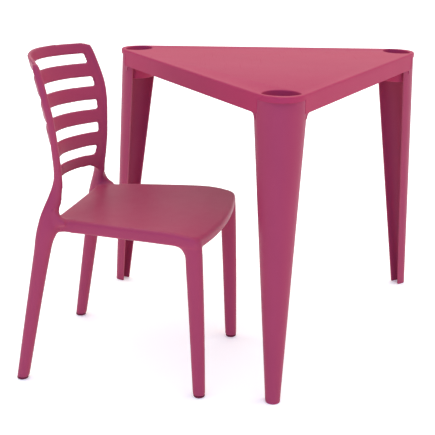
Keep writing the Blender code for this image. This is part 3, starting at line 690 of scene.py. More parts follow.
def build_table_top():
    sizes = bpy.context.scene.table_sizes
    top = table_height()
    bm = bmesh.new()
    face = rounded_triangle(sizes, bm, top)
    made = bmesh.ops.extrude_face_region(bm, geom=[face])["geom"]
    low_face = [g for g in made if isinstance(g, bmesh.types.BMFace)][0]
    bmesh.ops.translate(bm, verts=low_face.verts, vec=(0, 0, -sizes.apron))
    bmesh.ops.recalc_face_normals(bm, faces=bm.faces)
    rim = [e for e in bm.edges if all(abs(v.co.z - top) < 1e-6 for v in e.verts)]
    bmesh.ops.bevel(bm, geom=rim, offset=sizes.rim_round, offset_type="OFFSET", segments=5, profile=0.5,
                    affect="EDGES", material=-1)
    floor = [f for f in bm.faces if all(abs(v.co.z - (top - sizes.apron)) < 1e-6 for v in f.verts)]
    bmesh.ops.inset_region(bm, faces=floor, thickness=sizes.wall, use_even_offset=True)
    made = bmesh.ops.extrude_face_region(bm, geom=floor)["geom"]
    lifted = [g for g in made if isinstance(g, bmesh.types.BMVert)]
    bmesh.ops.delete(bm, geom=[f for f in floor if f.is_valid], context="FACES_ONLY")
    bmesh.ops.translate(bm, verts=lifted, vec=(0, 0, sizes.apron - sizes.panel))
    piece = to_piece("top_panel", bm)

    gaps = []
    for corner in CORNERS:
        fan = [corner_spot(sizes, corner, 0.001, 0.0)]
        for k in range(25):
            a = lerp(-sizes.apron_stop, sizes.apron_stop, k / 24)
            reach = sizes.corner_radius + 0.012
            fan.append(corner_spot(sizes, corner, reach * math.cos(a), reach * math.sin(a)))
        gaps.append(prism("gap", [(p.x, p.y) for p in fan], top - 0.09, top - sizes.rim_band))
    carve(piece, gaps, "DIFFERENCE")

    cups = []
    for corner in CORNERS:
        low = top - sizes.cup_depth - sizes.cup_wall
        levels = [(sizes.cup_wall - 0.0035, low), (sizes.cup_wall - 0.0010, low + 0.0008),
                  (sizes.cup_wall, low + 0.0030), (sizes.cup_wall, top - sizes.panel * CUP_ROOT)]
        cups.append(cup_solid(sizes, corner, levels, "cup"))
    ribs = rib_solids(sizes, top) + boss_solids(sizes, top) + bead_solids(sizes, top)
    carve(piece, cups + ribs, "UNION")

    holes = []
    for corner in CORNERS:
        floor_z = top - sizes.cup_depth
        levels = [(-0.0042, floor_z), (-0.0020, floor_z + 0.0007), (-0.0006, floor_z + 0.0028),
                  (0.0, top - 0.0016), (0.0003, top - 0.0008), (0.0009, top - 0.0002),
                  (0.0015, top + 0.0001), (0.0016, top + 0.002)]
        holes.append(cup_solid(sizes, corner, levels, "cup hollow"))
    carve(piece, holes, "DIFFERENCE")
    soften(piece, EASED)
    look = bpy.context.scene.plastic_look
    piece.data.materials.append(
        moulded_plastic("top plastic", look.top, look.top_deep, look.rough + 0.06, dust=0.02, scuffs=0.10,
                        shine=look.shine * 0.4))
    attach(piece, "table")
    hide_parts("table_top")


def rib_solids(sizes, top):
    """Stiffening ribs under the panel, to the cups and to the aprons."""
    centre = table_centre(sizes)
    ribs = []
    cup_reach = sizes.corner_at - sizes.cup_length + sizes.corner_radius - sizes.cup_rim - sizes.cup_wall * 0.5
    apron_reach = sizes.corner_at * 0.5 + sizes.corner_radius - sizes.wall * 0.5
    for degrees in CORNERS.values():
        turn = math.radians(degrees)
        for tag, flip, reach, start in (("cup", 1, cup_reach, -0.003), ("apron", -1, apron_reach, 0.0004)):
            out = Vector((math.cos(turn), math.sin(turn), 0)) * flip
            side = Vector((-out.y, out.x, 0)) * 0.001
            outline = []
            for u, v in ((start, -1), (reach, -1), (reach, 1), (start, 1)):
                p = centre + out * u + side * v
                outline.append((p.x, p.y))
            low = top - sizes.panel - RIB_DEPTH + (RIB_STAGGER if tag == "cup" else 0.0)
            ribs.append(prism("rib", outline, low, top - sizes.panel * RIB_ROOTS[tag]))
    return ribs


def bead_solids(sizes, top):
    """Fine upright bead where each apron stops beside a leg head."""
    beads = []
    for corner in CORNERS:
        for flip in (1, -1):
            a = flip * (sizes.apron_stop + math.radians(1.6))
            reach = sizes.corner_radius - 0.0002
            spot = corner_spot(sizes, corner, reach * math.cos(a), reach * math.sin(a))
            low = top - sizes.apron + 0.0006
            profile = [(0.0, low), (0.0006, low + 0.0002), (0.0009, low + 0.0008),
                       (0.0009, top - sizes.rim_band + 0.0005), (0.0, top - sizes.rim_band + 0.0016)]
            beads.append(turned("bead", spot, profile, 16))
    return beads


def screw_spots():
    """Screw lines read from the frame's own screws."""
    return {name: middle(name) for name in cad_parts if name.startswith("screw_")}


def boss_solids(sizes, top):
    """Screw bosses with their blind bores."""
    bosses = []
    for spot in screw_spots().values():
        low = top - sizes.panel - BOSS_LENGTH
        root = top - sizes.panel * BOSS_ROOT
        profile = [(0.0, low + 0.013), (0.0021, low + 0.013), (0.0021, low + 0.0004), (0.0025, low),
                   (0.0051, low), (0.0055, low + 0.0004), (0.0055, root), (0.0, root)]
        bosses.append(turned("boss", spot, profile, 28))
    return bosses


def channel_outline(sizes, share, inset=0.0, arc=44):
    """C section of a leg in corner axes from the table centre; share is 0 at the floor, 1 at the top."""
    at = lerp(sizes.foot_at, sizes.corner_at, share)
    outer = lerp(sizes.foot_radius, sizes.corner_radius, share) - inset
    inner = outer - sizes.wall + 2 * inset
    flange = lerp(sizes.flange_foot, sizes.flange_top, share)
    points = [(at - flange + inset, -outer)]
    for k in range(arc + 1):
        a = math.radians(-90 + 180 * k / arc)
        points.append((at + outer * math.cos(a), outer * math.sin(a)))
    points.append((at - flange + inset, outer))
    points.append((at - flange + inset, inner))
    for k in range(arc + 1):
        a = math.radians(90 - 180 * k / arc)
        points.append((at + inner * math.cos(a), inner * math.sin(a)))
    points.append((at - flange + inset, -inner))
    return points


def build_leg(corner, mat):
    sizes = bpy.context.scene.table_sizes
    top = table_height()
    head = top - sizes.rim_band - sizes.seam
    bm = bmesh.new()

    def point(station, k):
        z, inset = station
        out, side = channel_outline(sizes, z / top, inset)[k]
        return corner_spot(sizes, corner, out - sizes.corner_at, side, z)

    stations = [(0.0, 0.0005), (0.0005, 0.0), (0.1, 0.0), (0.2, 0.0), (0.3, 0.0), (0.4, 0.0), (head, 0.0)]
    ring_through(bm, stations, point, len(channel_outline(sizes, 0.5)))
    leg = to_piece("leg_" + corner, bm)

    # tab for the screws
    tab_top = top - sizes.panel - BOSS_LENGTH - sizes.seam
    share = tab_top / top
    at = lerp(sizes.foot_at, sizes.corner_at, share)
    reach = lerp(sizes.foot_radius, sizes.corner_radius, share) - sizes.wall * 0.5
    half = TAB_HALF
    outline = [(sizes.corner_at - TAB_REACH, -half + 0.008), (sizes.corner_at - 0.0417, -half + 0.0023),
               (sizes.corner_at - 0.036, -half), (at - 0.012, -half), (at - 0.001, -reach)]
    for k in range(1, 36):
        a = math.radians(-90 + 180 * k / 36)
        outline.append((at + reach * math.cos(a), reach * math.sin(a)))
    outline += [(at - 0.001, reach), (at - 0.012, half), (sizes.corner_at - 0.036, half),
                (sizes.corner_at - 0.0417, half - 0.0023), (sizes.corner_at - TAB_REACH, half - 0.008)]
    flat = [corner_spot(sizes, corner, out - sizes.corner_at, side) for out, side in outline]
    tab = prism("tab", [(p.x, p.y) for p in flat], tab_top - TAB_THICK, tab_top)
    carve(leg, [tab] + fillet_webs(sizes, corner, top), "UNION")

    way = [corner_spot(sizes, corner, out, side) for out, side in cup_outline(sizes, sizes.cup_wall + 0.0003)]
    tools = [prism("cup way", [(p.x, p.y) for p in way], top - sizes.cup_depth - PAST, top + PAST)]
    for flip in (1, -1):
        tools.append(apron_room(sizes, corner, flip, top))
    for name, spot in screw_spots().items():
        if corner in name:
            profile = [(0.0, tab_top - 0.006), (0.0022, tab_top - 0.006), (0.0022, tab_top + 0.004),
                       (0.0, tab_top + 0.004)]
            tools.append(turned("screw way", spot, profile, 24))
    carve(leg, tools, "DIFFERENCE")
    soften(leg, EASED)
    leg.data.materials.append(mat)
    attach(leg, "table")
    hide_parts("table_leg_" + corner)


def edge_axes(corner, flip):
    """Outward direction of a straight edge beside a corner, and the way along it."""
    turn = math.radians(CORNERS[corner] + flip * 60.0)
    out = Vector((math.cos(turn), math.sin(turn), 0))
    along = Vector((-out.y, out.x, 0)) * flip
    return out, along


def apron_room(sizes, corner, flip, top):
    """Space the apron takes out of a leg head."""
    centre = corner_spot(sizes, corner, 0.0, 0.0)
    out, along = edge_axes(corner, flip)
    turn = math.radians(CORNERS[corner]) + flip * (sizes.apron_stop - sizes.seam / sizes.corner_radius)
    radial = Vector((math.cos(turn), math.sin(turn), 0))
    inner = sizes.corner_radius - sizes.wall - sizes.seam
    outer = sizes.corner_radius + PAST
    ring = [centre + radial * inner, centre + radial * outer, centre + out * outer + along * 0.12,
            centre + out * inner + along * 0.12]
    return prism("apron room", [(p.x, p.y) for p in ring], top - sizes.apron - sizes.seam, top + PAST)


def fillet_webs(sizes, corner, top):
    """Webs that round the leg into the apron's lower edge."""
    webs = []
    share = (top - sizes.apron) / top
    radius = lerp(sizes.foot_radius, sizes.corner_radius, share)
    start = (radius - math.sin(math.radians(60)) * sizes.corner_radius) / math.cos(math.radians(60))
    for flip in (1, -1):
        out, along = edge_axes(corner, flip)
        centre = corner_spot(sizes, corner, 0.0, 0.0)
        face_out = sizes.corner_radius
        thick = sizes.wall + 0.0042
        high = top - sizes.apron - sizes.seam
        size = sizes.fillet
        flat = [(start - 0.004, 0.0), (start + size, 0.0)]
        for k in range(1, 9):
            a = math.radians(90 * k / 8)
            flat.append((start + size - size * math.sin(a), -size + size * math.cos(a)))
        flat.append((start - 0.004, -size - 0.002))
        bm = bmesh.new()
        verts = []
        for run, drop in flat:
            p = centre + out * face_out + along * run
            verts.append(bm.verts.new((p.x, p.y, high + drop)))
        face = bm.faces.new(verts)
        made = bmesh.ops.extrude_face_region(bm, geom=[face])["geom"]
        moved = [g for g in made if isinstance(g, bmesh.types.BMVert)]
        bmesh.ops.translate(bm, verts=moved, vec=-out * thick)
        webs.append(to_piece("fillet web", bm))
    return webs


def build_screws():
    steel = plated_steel("plated steel")
    for name, spot in screw_spots().items():
        low, high = BOXES[name]
        seat = low[2] + 0.0024
        profile = [(0.0, low[2]), (0.0018, low[2] + 0.00005), (0.0030, low[2] + 0.0004),
                   (0.0037, low[2] + 0.0010), (0.0040, low[2] + 0.0018), (0.0040, seat), (0.0019, seat)]
        turn_z = seat
        while turn_z < high[2] - 0.004:
            profile += [(0.0019, turn_z + 0.0002), (0.00155, turn_z + 0.0006), (0.00155, turn_z + 0.0009)]
            turn_z += 0.0013
        profile += [(0.0017, turn_z + 0.0003), (0.0004, high[2] - 0.0002), (0.0, high[2])]
        screw = turned(name.replace("screw_", "fixing_"), spot, profile, 28)
        arms = []
        for turn in (0.0, math.pi / 2):
            long_way = Vector((math.cos(turn), math.sin(turn), 0)) * 0.0019
            wide_way = Vector((-math.sin(turn), math.cos(turn), 0)) * 0.00035
            ring = [spot + long_way + wide_way, spot - long_way + wide_way, spot - long_way - wide_way,
                    spot + long_way - wide_way]
            arms.append(prism("cross recess", [(p.x, p.y) for p in ring], low[2] - 0.001, low[2] + 0.0013))
        carve(screw, arms, "DIFFERENCE")
        screw.data.materials.append(steel)
        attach(screw, "table")
        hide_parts(name)


# ---- chair, modelled in its own axes ----

LEG_FOOT = 0.0028       # legs start here, on their glides
SOCKET_TOP = 0.0145     # end of a glide's socket
HEAD_BELOW = 0.0145     # front legs end this far below the seat's sides
HEAD_BEHIND = 0.0105    # front faces of their heads behind the seat's edge, outer ones inside its side
HEAD_INSIDE = 0.0025
LEG_BOW = 0.001         # front faces bow forwards
LEG_FLARE = 0.9         # share of the quarter round that a leg reaches backwards
FILLET_DROP = 0.002     # quarter rounds end this far below the rim
POST_TOP_IN = 0.0068    # posts end this far below the top of the back
POST_END = 0.010        # rounded upper end of a post
POST_LEAN = 0.0055      # at the seat a post's front is drawn inwards and its rear outwards
SHELL_IN = 0.004        # edge of the back inside the outer side of a post
SHELL_EDGE = 0.965      # share of the half width that the back's shell spans
BACK_COLUMNS = 96       # faces across the back
BACK_ROW = 0.0025       # height that a row of the back's faces is kept near
LOW_ROUND = 0.016       # rounding of the back's lower and upper edges towards the posts
TOP_ROUND = 0.014

# Curves are keyed by level: 0 is the floor, 1 the seat's sides, 2 the top of the back.
POST_FRONT = ((0.0, -0.1330), (0.85, -0.0884), (0.94, -0.0787), (1.0, -0.0810), (1.12, -0.0768), (1.27, -0.0738),
              (1.44, -0.0740), (1.65, -0.0775), (1.82, -0.0875), (2.05, -0.1065))
POST_OUT = ((0.0, 0.1340), (0.56, 0.1263), (0.85, 0.1209), (1.0, 0.1137), (1.18, 0.1004), (1.35, 0.1060),
            (1.69, 0.1170), (1.86, 0.1132), (2.05, 0.1050))
POST_REAR = ((0.0, -0.1520), (0.37, -0.1362), (0.76, -0.1193), (0.91, -0.1134), (1.03, -0.1045), (1.16, -0.0940),
             (1.27, -0.0868), (1.44, -0.0857), (1.65, -0.0891), (1.82, -0.0991), (2.05, -0.1181))
POST_WIDTH = ((0.0, 0.0190), (0.37, 0.0204), (0.85, 0.0224), (0.95, 0.0232), (1.03, 0.0184), (1.16, 0.0136),
              (1.27, 0.0116), (1.40, 0.0108))
WRAP = ((1.10, 0.70), (1.31, 0.78), (1.56, 1.02), (1.78, 1.04), (2.05, 0.95))
SEAT_RISE = ((-0.093, -0.0065), (-0.050, -0.0028), (0.060, 0.0), (0.110, -0.0010), (0.156, -0.0095))
SEAT_WIDTH = ((-0.093, 0.790), (-0.040, 0.862), (0.045, 0.958), (0.105, 1.0), (0.156, 0.985))


def back_top():
    return BOXES["chair_frame"][1][2]


def level(sizes, z):
    if z < sizes.seat_height:
        return z / sizes.seat_height
    return 1 + (z - sizes.seat_height) / (back_top() - sizes.seat_height)


def side_front(sizes, z):
    return through(POST_FRONT, level(sizes, z))


def side_out(sizes, z):
    return through(POST_OUT, level(sizes, z))


def seat_half(sizes, x):
    return sizes.seat_half * through(SEAT_WIDTH, x)


def seat_surface(sizes, x, y):
    """Height of the seat: raised sides, hollow middle, front edge falling away."""
    part = min(1.0, abs(y) / seat_half(sizes, x))
    along = clamp((x - sizes.seat_back) / (sizes.seat_front - sizes.seat_back))
    dish = sizes.seat_dish * (1 - part ** 2.2) * max(0.0, math.sin(math.pi * along)) ** 0.7
    return sizes.seat_height + through(SEAT_RISE, x) - dish


def seat_outline(sizes):
    """Seat edge in plan: a square bevelled at its corners, widened forwards and bowed in front."""
    bm = bmesh.new()
    corners = [bm.verts.new((u, v, 0)) for u, v in ((-1, -1), (1, -1), (1, 1), (-1, 1))]
    bm.faces.new(corners)
    bmesh.ops.bevel(bm, geom=corners[1:3], offset=0.075, offset_type="OFFSET", segments=12, profile=0.5,
                    affect="VERTICES", material=-1)
    rear = [v for v in bm.verts if v.co.x < -0.99]
    bmesh.ops.bevel(bm, geom=rear, offset=0.09, offset_type="OFFSET", segments=8, profile=0.5,
                    affect="VERTICES", material=-1)
    sides = [e for e in bm.edges if e.calc_length() > 0.5]
    bmesh.ops.subdivide_edges(bm, edges=sides, cuts=23)
    bm.faces.ensure_lookup_table()
    outline = []
    for vert in bm.faces[0].verts:
        u, v = vert.co.x, vert.co.y
        x = lerp(sizes.seat_back, sizes.seat_front - sizes.front_bow * v * v, (u + 1) / 2)
        outline.append(Vector((x, v * seat_half(sizes, x))))
    bm.free()
    return outline


def build_seat(sizes, place):
    """Dished seat, hollow underneath, with a deep rounded rim, pulled from its middle to its edge."""
    outline = seat_outline(sizes)
    mid = Vector(((sizes.seat_front + sizes.seat_back) / 2, 0.0))
    rim = sizes.rim_depth
    inside = sizes.rim_width
    shares = (0.05, 0.15, 0.25, 0.35, 0.45, 0.55, 0.65, 0.75, 0.83)
    stations = [("share", share, 0.0, 0.0) for share in shares]
    stations.append(("inset", 0.0120, 0.0, 0.0))
    edge = 0.0062
    for k in range(7):
        a = math.radians(90.0 * k / 6)
        stations.append(("inset", edge * (1 - math.sin(a)), edge * (1 - math.cos(a)), 0.0))
    stations.append(("inset", 0.0, -0.0045, rim))
    for k in range(1, 6):
        a = math.radians(90.0 * k / 5)
        stations.append(("inset", 0.0042 * (1 - math.cos(a)), -0.0042 * (1 - math.sin(a)), rim))
    stations.append(("inset", inside - 0.003, 0.0, rim))
    stations.append(("inset", inside - 0.0006, -0.0024, rim))
    stations.append(("inset", inside + 0.0010, sizes.skin + 0.0030, 0.0))
    stations.append(("inset", inside + 0.0045, sizes.skin, 0.0))
    stations += [("share", share, sizes.skin, 0.0) for share in reversed(shares[:7])]

    def point(station, k):
        kind, amount, drop, low = station
        away = outline[k] - mid
        if kind == "share":
            spot = mid + away * amount
        else:
            spot = mid + away * (1 - amount / away.length)
        lifted = low * (1 - sizes.front_lift * clamp((spot.x - 0.100) / 0.045))
        return Vector((spot.x, spot.y, seat_surface(sizes, spot.x, spot.y) - drop - lifted))

    bm = bmesh.new()
    ring_through(bm, stations, point, len(outline))
    bmesh.ops.transform(bm, matrix=place, verts=bm.verts)
    return to_piece("seat", bm)


def oval_tube(name, stations, place, count=40, power=2.1):
    """Tapered leg on a socketed foot: stations are (front x, length, outer y, width, z, lean)."""
    front, length, outer, width, z, lean = stations[0]
    sy = math.copysign(1, outer)
    x = front - length / 2
    y = outer - sy * width / 2
    bore = 0.0052
    rise = 0.0014
    foot = [(x + bore, 2 * bore, y + sy * bore, 2 * bore, high, 0) for high in (SOCKET_TOP, z)]
    for inset, up in ((rise, 0.0), (rise * 0.3, rise * 0.3), (0.0, rise)):
        foot.append((front - inset, length - 2 * inset, outer - sy * inset, width - 2 * inset, z + up, 0))
    stations = foot + stations[1:]
    bm = bmesh.new()

    def point(station, k):
        front, length, outer, width, z, lean = station
        turn = math.tau * k / count
        px = math.copysign(abs(math.cos(turn)) ** (2 / power), math.cos(turn))
        py = math.copysign(abs(math.sin(turn)) ** (2 / power), math.sin(turn))
        y = outer - sy * width / 2 + width / 2 * py - sy * lean * px
        return Vector((front - length / 2 + length / 2 * px, y, z))

    ring_through(bm, stations, point, count)
    bmesh.ops.transform(bm, matrix=place, verts=bm.verts)
    return to_piece(name, bm)


def front_leg(sizes, sy, place):
    """Tapered leg whose rear face flares with a quarter round into the side rail."""
    foot = LEG_FOOT
    fillet = sizes.leg_fillet
    top = sizes.seat_height - HEAD_BELOW
    start = sizes.seat_height - sizes.rim_depth - fillet - FILLET_DROP
    spot = place.inverted() @ glide_centre("front_left")
    count = 40
    heights = [lerp(foot, start, k / count) for k in range(count)]
    heights += [start + fillet * math.sin(math.radians(90 * k / 14)) for k in range(15)] + [top]
    stations = []
    for z in heights:
        t = z / sizes.seat_height
        front = lerp(spot.x + sizes.foot_radius, sizes.seat_front - HEAD_BEHIND, t)
        front += LEG_BOW * math.sin(math.pi * t)
        swell = clamp(t / 0.8) ** 0.8
        k = clamp((z - start) / fillet)
        length = lerp(2 * sizes.foot_radius, sizes.leg_length, swell)
        length += fillet * (1 - math.sqrt(1 - k * k)) * LEG_FLARE
        width = lerp(2 * sizes.foot_radius, sizes.leg_width, swell)
        outer = lerp(abs(spot.y) + sizes.foot_radius, sizes.seat_half - HEAD_INSIDE, t)
        stations.append((front, length, sy * outer, width, z, 0.0))
    return oval_tube("front leg", stations, place)


def back_post(sizes, sy, place):
    """Rear leg that runs on up as the side of the back."""
    foot = LEG_FOOT
    top = back_top() - POST_TOP_IN
    count = 90
    stations = []
    for k in range(count + 1):
        z = lerp(foot, top, k / count)
        t = level(sizes, z)
        slim = 1 - 0.3 * clamp((z - top + POST_END) / POST_END) ** 2
        length = (through(POST_FRONT, t) - through(POST_REAR, t)) * slim
        width = through(POST_WIDTH, t) * slim
        lean = POST_LEAN * math.sin(math.pi * clamp((t - 0.8) / 0.44)) ** 2
        inward = (1 - slim) * 0.004
        outer = sy * (side_out(sizes, z) - inward)
        stations.append((side_front(sizes, z) - inward, length, outer, width, z, lean))
    return oval_tube("back post", stations, place)


def gusset(sizes, sy, place):
    """Quarter round from a post's front face down onto the side rail."""
    radius = sizes.gusset
    sink = 0.004        # into the post
    buried = 0.006      # into the rail
    z0 = sizes.seat_height - buried
    x0 = side_front(sizes, sizes.seat_height + sink) - sink
    outline = [(x0, z0 - buried), (x0, z0 + buried + radius)]
    for k in range(11):
        a = math.radians(90 * k / 10)
        outline.append((x0 + sink + radius * (1 - math.cos(a)), z0 + 0.0045 + radius * (1 - math.sin(a))))
    outline.append((x0 + sink + radius, z0 - buried))
    bm = bmesh.new()
    outer = side_out(sizes, sizes.seat_height)
    face = bm.faces.new([bm.verts.new((x, sy * (outer - 0.0035), z)) for x, z in outline])
    made = bmesh.ops.extrude_face_region(bm, geom=[face])["geom"]
    moved = [g for g in made if isinstance(g, bmesh.types.BMVert)]
    bmesh.ops.translate(bm, verts=moved, vec=(0, -sy * 0.0120, 0))
    bmesh.ops.transform(bm, matrix=place, verts=bm.verts)
    return to_piece("gusset", bm)


def back_spot(sizes, s, z):
    """Front face of the back: s runs -1 to 1 across."""
    wrap = sizes.back_wrap * through(WRAP, level(sizes, z))
    x = side_front(sizes, z) - wrap * (1 - abs(s) ** 1.75)
    return Vector((x, s * (side_out(sizes, z) - SHELL_IN), z))


def build_back(sizes, place):
    """Wrapped back with its slots, drawn from a grid and given its thickness."""
    top = back_top()
    high = top - sizes.top_slat
    low_edge = high - (sizes.slots - 1) * sizes.slot_pitch - sizes.slot_height - sizes.low_slat
    rows = [low_edge]
    slot_rows = []
    for k in reversed(range(sizes.slots)):
        high = top - sizes.top_slat - k * sizes.slot_pitch
        slot_rows.append((high - sizes.slot_height, high))
        rows += [high - sizes.slot_height, high]
    rows.append(top)
    fine = []
    for low, high in zip(rows, rows[1:]):
        count = max(3, round((high - low) / BACK_ROW))
        fine += [lerp(low, high, k / count) for k in range(count)]
    fine.append(top)
    bm = bmesh.new()
    bmesh.ops.create_grid(bm, x_segments=BACK_COLUMNS, y_segments=len(fine) - 1, size=1.0)
    gaps = []
    for vert in bm.verts:
        i = round((vert.co.x + 1) / 2 * BACK_COLUMNS)
        j = round((vert.co.y + 1) / 2 * (len(fine) - 1))
        vert.co = (lerp(-SHELL_EDGE, SHELL_EDGE, i / BACK_COLUMNS), fine[j], 0)
    for face in bm.faces:
        mid = face.calc_center_median()
        for low, high in slot_rows:
            if low < mid.y < high and abs(mid.x) < sizes.slot_span:
                gaps.append(face)
    bmesh.ops.delete(bm, geom=gaps, context="FACES")
    for vert in bm.verts:
        s = vert.co.x
        z = vert.co.y
        bottom = 1 - clamp((z - low_edge) / LOW_ROUND)
        z -= LOW_ROUND * bottom * clamp((abs(s) - 0.66) / 0.30) ** 2.2
        crown = clamp((z - (top - TOP_ROUND)) / TOP_ROUND)
        z -= 0.0025 * crown * clamp((abs(s) - 0.88) / 0.085) ** 2
        z -= sizes.back_arch * s * s - 0.0010 * clamp((0.40 - z) / 0.08)
        if abs(s) < 0.93:
            s *= 1.0 - 0.06 * clamp((low_edge + 0.050 - z) / 0.030)
        vert.co = back_spot(sizes, s, z)
    bmesh.ops.recalc_face_normals(bm, faces=bm.faces)
    bm.faces.ensure_lookup_table()
    if sum(f.normal.x for f in bm.faces) < 0:
        bmesh.ops.reverse_faces(bm, faces=bm.faces)
    bmesh.ops.solidify(bm, geom=bm.faces, thickness=sizes.back_shell)
    bmesh.ops.transform(bm, matrix=place, verts=bm.verts)
    return to_piece("back", bm)


def build_chair():
    sizes = bpy.context.scene.chair_sizes
    place = chair_place()
    members = [build_seat(sizes, place), build_back(sizes, place)]
    for sy in (1, -1):
        members.append(front_leg(sizes, sy, place))
        members.append(back_post(sizes, sy, place))
        members.append(gusset(sizes, sy, place))
    bm = bmesh.new()
    for member in members:
        bm.from_mesh(member.data)
        bpy.data.objects.remove(member, do_unlink=True)
    mesh = bpy.data.meshes.new("chair_moulding")
    bm.to_mesh(mesh)
    bm.free()
    chair = bpy.data.objects.new("chair_moulding", mesh)
    bpy.context.scene.collection.objects.link(chair)
    blend = chair.modifiers.new("one moulding", "REMESH")
    blend.mode = "VOXEL"
    blend.voxel_size = sizes.voxel
    blend.adaptivity = 0.0
    ease_mod = chair.modifiers.new("ease", "SMOOTH")
    ease_mod.factor = 0.5
    ease_mod.iterations = 4
    settle(chair, 180.0)
    ease_junctions(chair, place)
    look = bpy.context.scene.plastic_look
    chair.data.materials.append(
        moulded_plastic("chair plastic", look.body, look.body_deep, look.rough, dust=0.04, scuffs=0.08))
    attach(chair, "chair")
    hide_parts("chair_frame")


def ease_junctions(chair, place):
    """Rounds the places where legs, posts, seat and slats run together."""
    spots = []
    for sy in (1, -1):
        spots.append((Vector((-0.070, sy * 0.098, 0.268)), 0.020, 24))
        spots.append((Vector((-0.082, sy * 0.092, 0.266)), 0.016, 24))
        spots.append((Vector((-0.074, sy * 0.104, 0.246)), 0.014, 16))
        spots.append((Vector((0.112, sy * 0.108, 0.246)), 0.012, 10))
        spots.append((Vector((-0.080, sy * 0.090, 0.300)), 0.012, 12))
    bm = bmesh.new()
    bm.from_mesh(chair.data)
    back = place.inverted()
    local = [(v, back @ v.co) for v in bm.verts]
    for spot, reach, rounds in spots:
        near = [v for v, p in local if (p - spot).length < reach]
        core = [v for v, p in local if (p - spot).length < reach * 0.6]
        for k in range(rounds):
            bmesh.ops.smooth_vert(bm, verts=near if k % 2 else core, factor=0.5, use_axis_x=True,
                                  use_axis_y=True, use_axis_z=True)
    bm.to_mesh(chair.data)
    bm.free()


def build_glides():
    look = bpy.context.scene.plastic_look
    dark = [c * 0.6 for c in look.body]
    mat = moulded_plastic("glide plastic", dark, [c * 0.8 for c in dark], 0.5, dust=0.0)
    for foot in FEET:
        spot = glide_centre(foot)
        profile = [(0.0, 0.0003), (0.0055, 0.0003), (0.0060, 0.0), (0.0072, 0.0), (0.0080, 0.0003),
                   (0.0088, 0.0010), (0.0090, 0.0016), (0.0090, 0.0023), (0.0087, 0.0025),
                   (0.0052, 0.0025), (0.0048, 0.0028)]
        for k in range(4):
            z = 0.0036 + 0.0023 * k
            profile += [(0.0045, z), (0.0048, z + 0.0010), (0.0045, z + 0.0013)]
        profile += [(0.0044, 0.0128), (0.0036, 0.0135), (0.0, 0.0135)]
        glide = turned("foot_glide_" + foot, spot, profile, 36)
        glide.data.materials.append(mat)
        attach(glide, "chair")
        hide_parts("glide_" + foot)


# ---- stage ----

FLOOR_HALF = 14.0
KEY_FROM = (60, 78, 120)        # bearing, height and spread in degrees
FILL_FROM = (-100, 15, 60)


def soft_sun(name, bearing, height, spread, strength, colour):
    """Wide, even light from a bearing (0 is +X, turning towards +Y) and a height."""
    data = bpy.data.lights.new(name, "SUN")
    data.angle = spread
    data.energy = strength
    data.color = colour
    lamp = bpy.data.objects.new(name, data)
    bpy.context.scene.collection.objects.link(lamp)
    way = Vector((math.cos(height) * math.cos(bearing), math.cos(height) * math.sin(bearing),
                  math.sin(height)))
    lamp.rotation_euler = way.to_track_quat("Z", "Y").to_euler()


def pale_surround(studio):
    """World that is white behind the object and cooler and dimmer on the camera's side."""
    world = bpy.data.worlds.new("pale surround")
    world.use_nodes = True
    tree = world.node_tree
    back = tree.nodes["Background"]
    coord = add(tree, "ShaderNodeTexCoord", (-900, 0))
    split = add(tree, "ShaderNodeSeparateXYZ", (-700, 0))
    span = add(tree, "ShaderNodeMapRange", (-500, 0), interpolation_type="SMOOTHSTEP")
    span.inputs["From Min"].default_value = -0.7
    span.inputs["From Max"].default_value = 0.3
    mix = add(tree, "ShaderNodeMix", (-250, 0), data_type="RGBA")
    mix.inputs["A"].default_value = (*studio.cool_side, 1.0)
    mix.inputs["B"].default_value = (1.0, 1.0, 1.0, 1.0)
    tree.links.new(coord.outputs["Generated"], split.inputs[0])
    tree.links.new(split.outputs["Y"], span.inputs["Value"])
    tree.links.new(span.outputs["Result"], mix.inputs["Factor"])
    tree.links.new(mix.outputs["Result"], back.inputs["Color"])
    back.inputs["Strength"].default_value = studio.surround
    bpy.context.scene.world = world


def build_stage():
    studio = bpy.context.scene.studio_look
    centre = table_centre(bpy.context.scene.table_sizes)
    bm = bmesh.new()
    bmesh.ops.create_grid(bm, x_segments=4, y_segments=4, size=FLOOR_HALF)
    bmesh.ops.translate(bm, verts=bm.verts, vec=(0, 0, -0.0002))
    floor = to_piece("studio_floor", bm)
    mat = bpy.data.materials.new("pale floor")
    mat.use_nodes = True
    bsdf = mat.node_tree.nodes["Principled BSDF"]
    bsdf.inputs["Base Color"].default_value = (*studio.floor, 1.0)
    bsdf.inputs["Roughness"].default_value = 0.9
    bsdf.inputs["Specular IOR Level"].default_value = 0.1
    bsdf.inputs["Emission Color"].default_value = (1.0, 1.0, 1.0, 1.0)
    bsdf.inputs["Emission Strength"].default_value = studio.floor_glow
    floor.data.materials.append(mat)

    pale_surround(studio)
    soft_sun("overhead", *map(math.radians, KEY_FROM), studio.key, studio.key_colour)
    soft_sun("camera side", *map(math.radians, FILL_FROM), studio.fill, studio.fill_colour)

    data = bpy.data.cameras.new("camera")
    data.lens = studio.lens
    data.sensor_width = 36.0
    data.clip_end = 50.0
    camera = bpy.data.objects.new("camera", data)
    bpy.context.scene.collection.objects.link(camera)
    forward = Vector((0, math.cos(studio.pitch), -math.sin(studio.pitch)))
    right = Vector((1, 0, 0))
    up = right.cross(forward)
    turned_right = right * math.cos(studio.roll) + up * math.sin(studio.roll)
    turned_up = up * math.cos(studio.roll) - right * math.sin(studio.roll)
    axes = Matrix((turned_right, turned_up, -forward)).transposed()
    spot = centre + Vector(studio.camera_from_table)
    camera.matrix_world = Matrix.Translation(spot) @ axes.to_4x4()
    bpy.context.scene.camera = camera
    bpy.context.scene.view_settings.view_transform = "Standard"


# ---- operators ----

